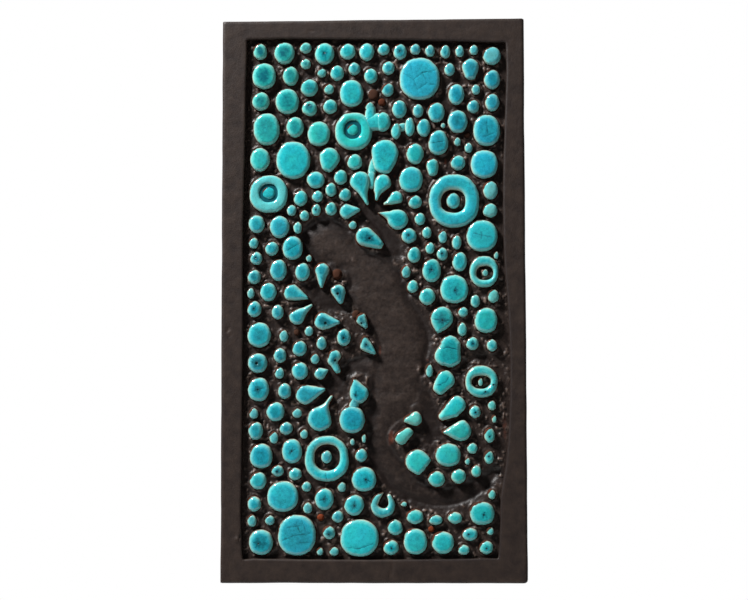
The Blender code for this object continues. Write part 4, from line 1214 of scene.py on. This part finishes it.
# %% Floor, light and camera
KEY_WATTS = 67
KEY_SIZE = 0.32
KEY_PLACE = (-0.92, -0.64, 1.14)
ROOM = (
    # how far from the front of the room to its back, and how bright it is there
    (0.03, 0.05), (0.35, 0.17), (0.56, 0.22), (0.9, 1.0),
)


def aim(obj, place, target):
    obj.location = place
    obj.rotation_euler = (Vector(target) - Vector(place)).to_track_quat("-Z", "Y").to_euler()
    bpy.context.scene.collection.objects.link(obj)


floor_mesh = bpy.data.meshes.new("studio_floor")
FLOOR_HALF, FLOOR_DROP = 1.2, -0.9
floor_mesh.from_pydata(
    [(-FLOOR_HALF, -FLOOR_HALF, FLOOR_DROP), (FLOOR_HALF, -FLOOR_HALF, FLOOR_DROP),
     (FLOOR_HALF, FLOOR_HALF, FLOOR_DROP), (-FLOOR_HALF, FLOOR_HALF, FLOOR_DROP)], [], [(0, 1, 2, 3)])
paper, paper_tree = new_material("white_paper_matt")
paper_shader = add(paper_tree, "ShaderNodeBsdfPrincipled", {
    "Base Color": linear("#F2F1EF"), "Roughness": 0.8})
add(paper_tree, "ShaderNodeOutputMaterial", {"Surface": paper_shader})
floor_mesh.materials.append(paper)
floor = bpy.data.objects.new("studio_floor", floor_mesh)
bpy.context.scene.collection.objects.link(floor)

key_light = bpy.data.lights.new("key_softbox", "AREA")
key_light.energy = KEY_WATTS
key_light.size = KEY_SIZE
aim(bpy.data.objects.new("key_softbox", key_light), KEY_PLACE, (0, 0, 0))

world = bpy.data.worlds.new("white_studio")
world.use_nodes = True
world.node_tree.nodes.clear()
tree = world.node_tree
way = add(tree, "ShaderNodeSeparateXYZ", {"Vector": add(tree, "ShaderNodeTexCoord").outputs["Generated"]})
room = add(tree, "ShaderNodeValToRGB", {
    "Fac": add(tree, "ShaderNodeMath", {0: way.outputs["Y"], 1: 0.5, 2: 0.5}, operation="MULTIPLY_ADD")})
stops = room.color_ramp.elements
stops[0].position, stops[1].position = ROOM[0][0], ROOM[-1][0]
for position, _ in ROOM[1:-1]:
    stops.new(position)
for stop, (_, grey) in zip(stops, ROOM):
    stop.color = (grey, grey, grey, 1)
seen = add(tree, "ShaderNodeLightPath").outputs["Is Camera Ray"]
strength = add(tree, "ShaderNodeMix", {"Factor": seen, "A": room, "B": 1.0}, data_type="FLOAT")
sky = add(tree, "ShaderNodeBackground", {"Color": (1, 1, 1, 1), "Strength": strength})
add(world.node_tree, "ShaderNodeOutputWorld", {"Surface": sky})
bpy.context.scene.world = world
bpy.context.scene.view_settings.view_transform = "Standard"

CAMERA_DISTANCE = 0.9
CAMERA_AZIMUTH = math.radians(2.08)
CAMERA_ELEVATION = math.radians(-4.16)
CAMERA_ROLL = math.radians(-0.1)
CAMERA_LENS = 85.69
camera_data = bpy.data.cameras.new("camera")
camera_data.lens = CAMERA_LENS
camera_data.sensor_width = 36
camera = bpy.data.objects.new("camera", camera_data)
away = Vector((math.sin(CAMERA_AZIMUTH) * math.cos(CAMERA_ELEVATION),
               -math.cos(CAMERA_AZIMUTH) * math.cos(CAMERA_ELEVATION), math.sin(CAMERA_ELEVATION)))
aim(camera, away * CAMERA_DISTANCE, (0, 0, 0))
camera.rotation_euler.rotate_axis("Z", CAMERA_ROLL)
bpy.context.scene.camera = camera
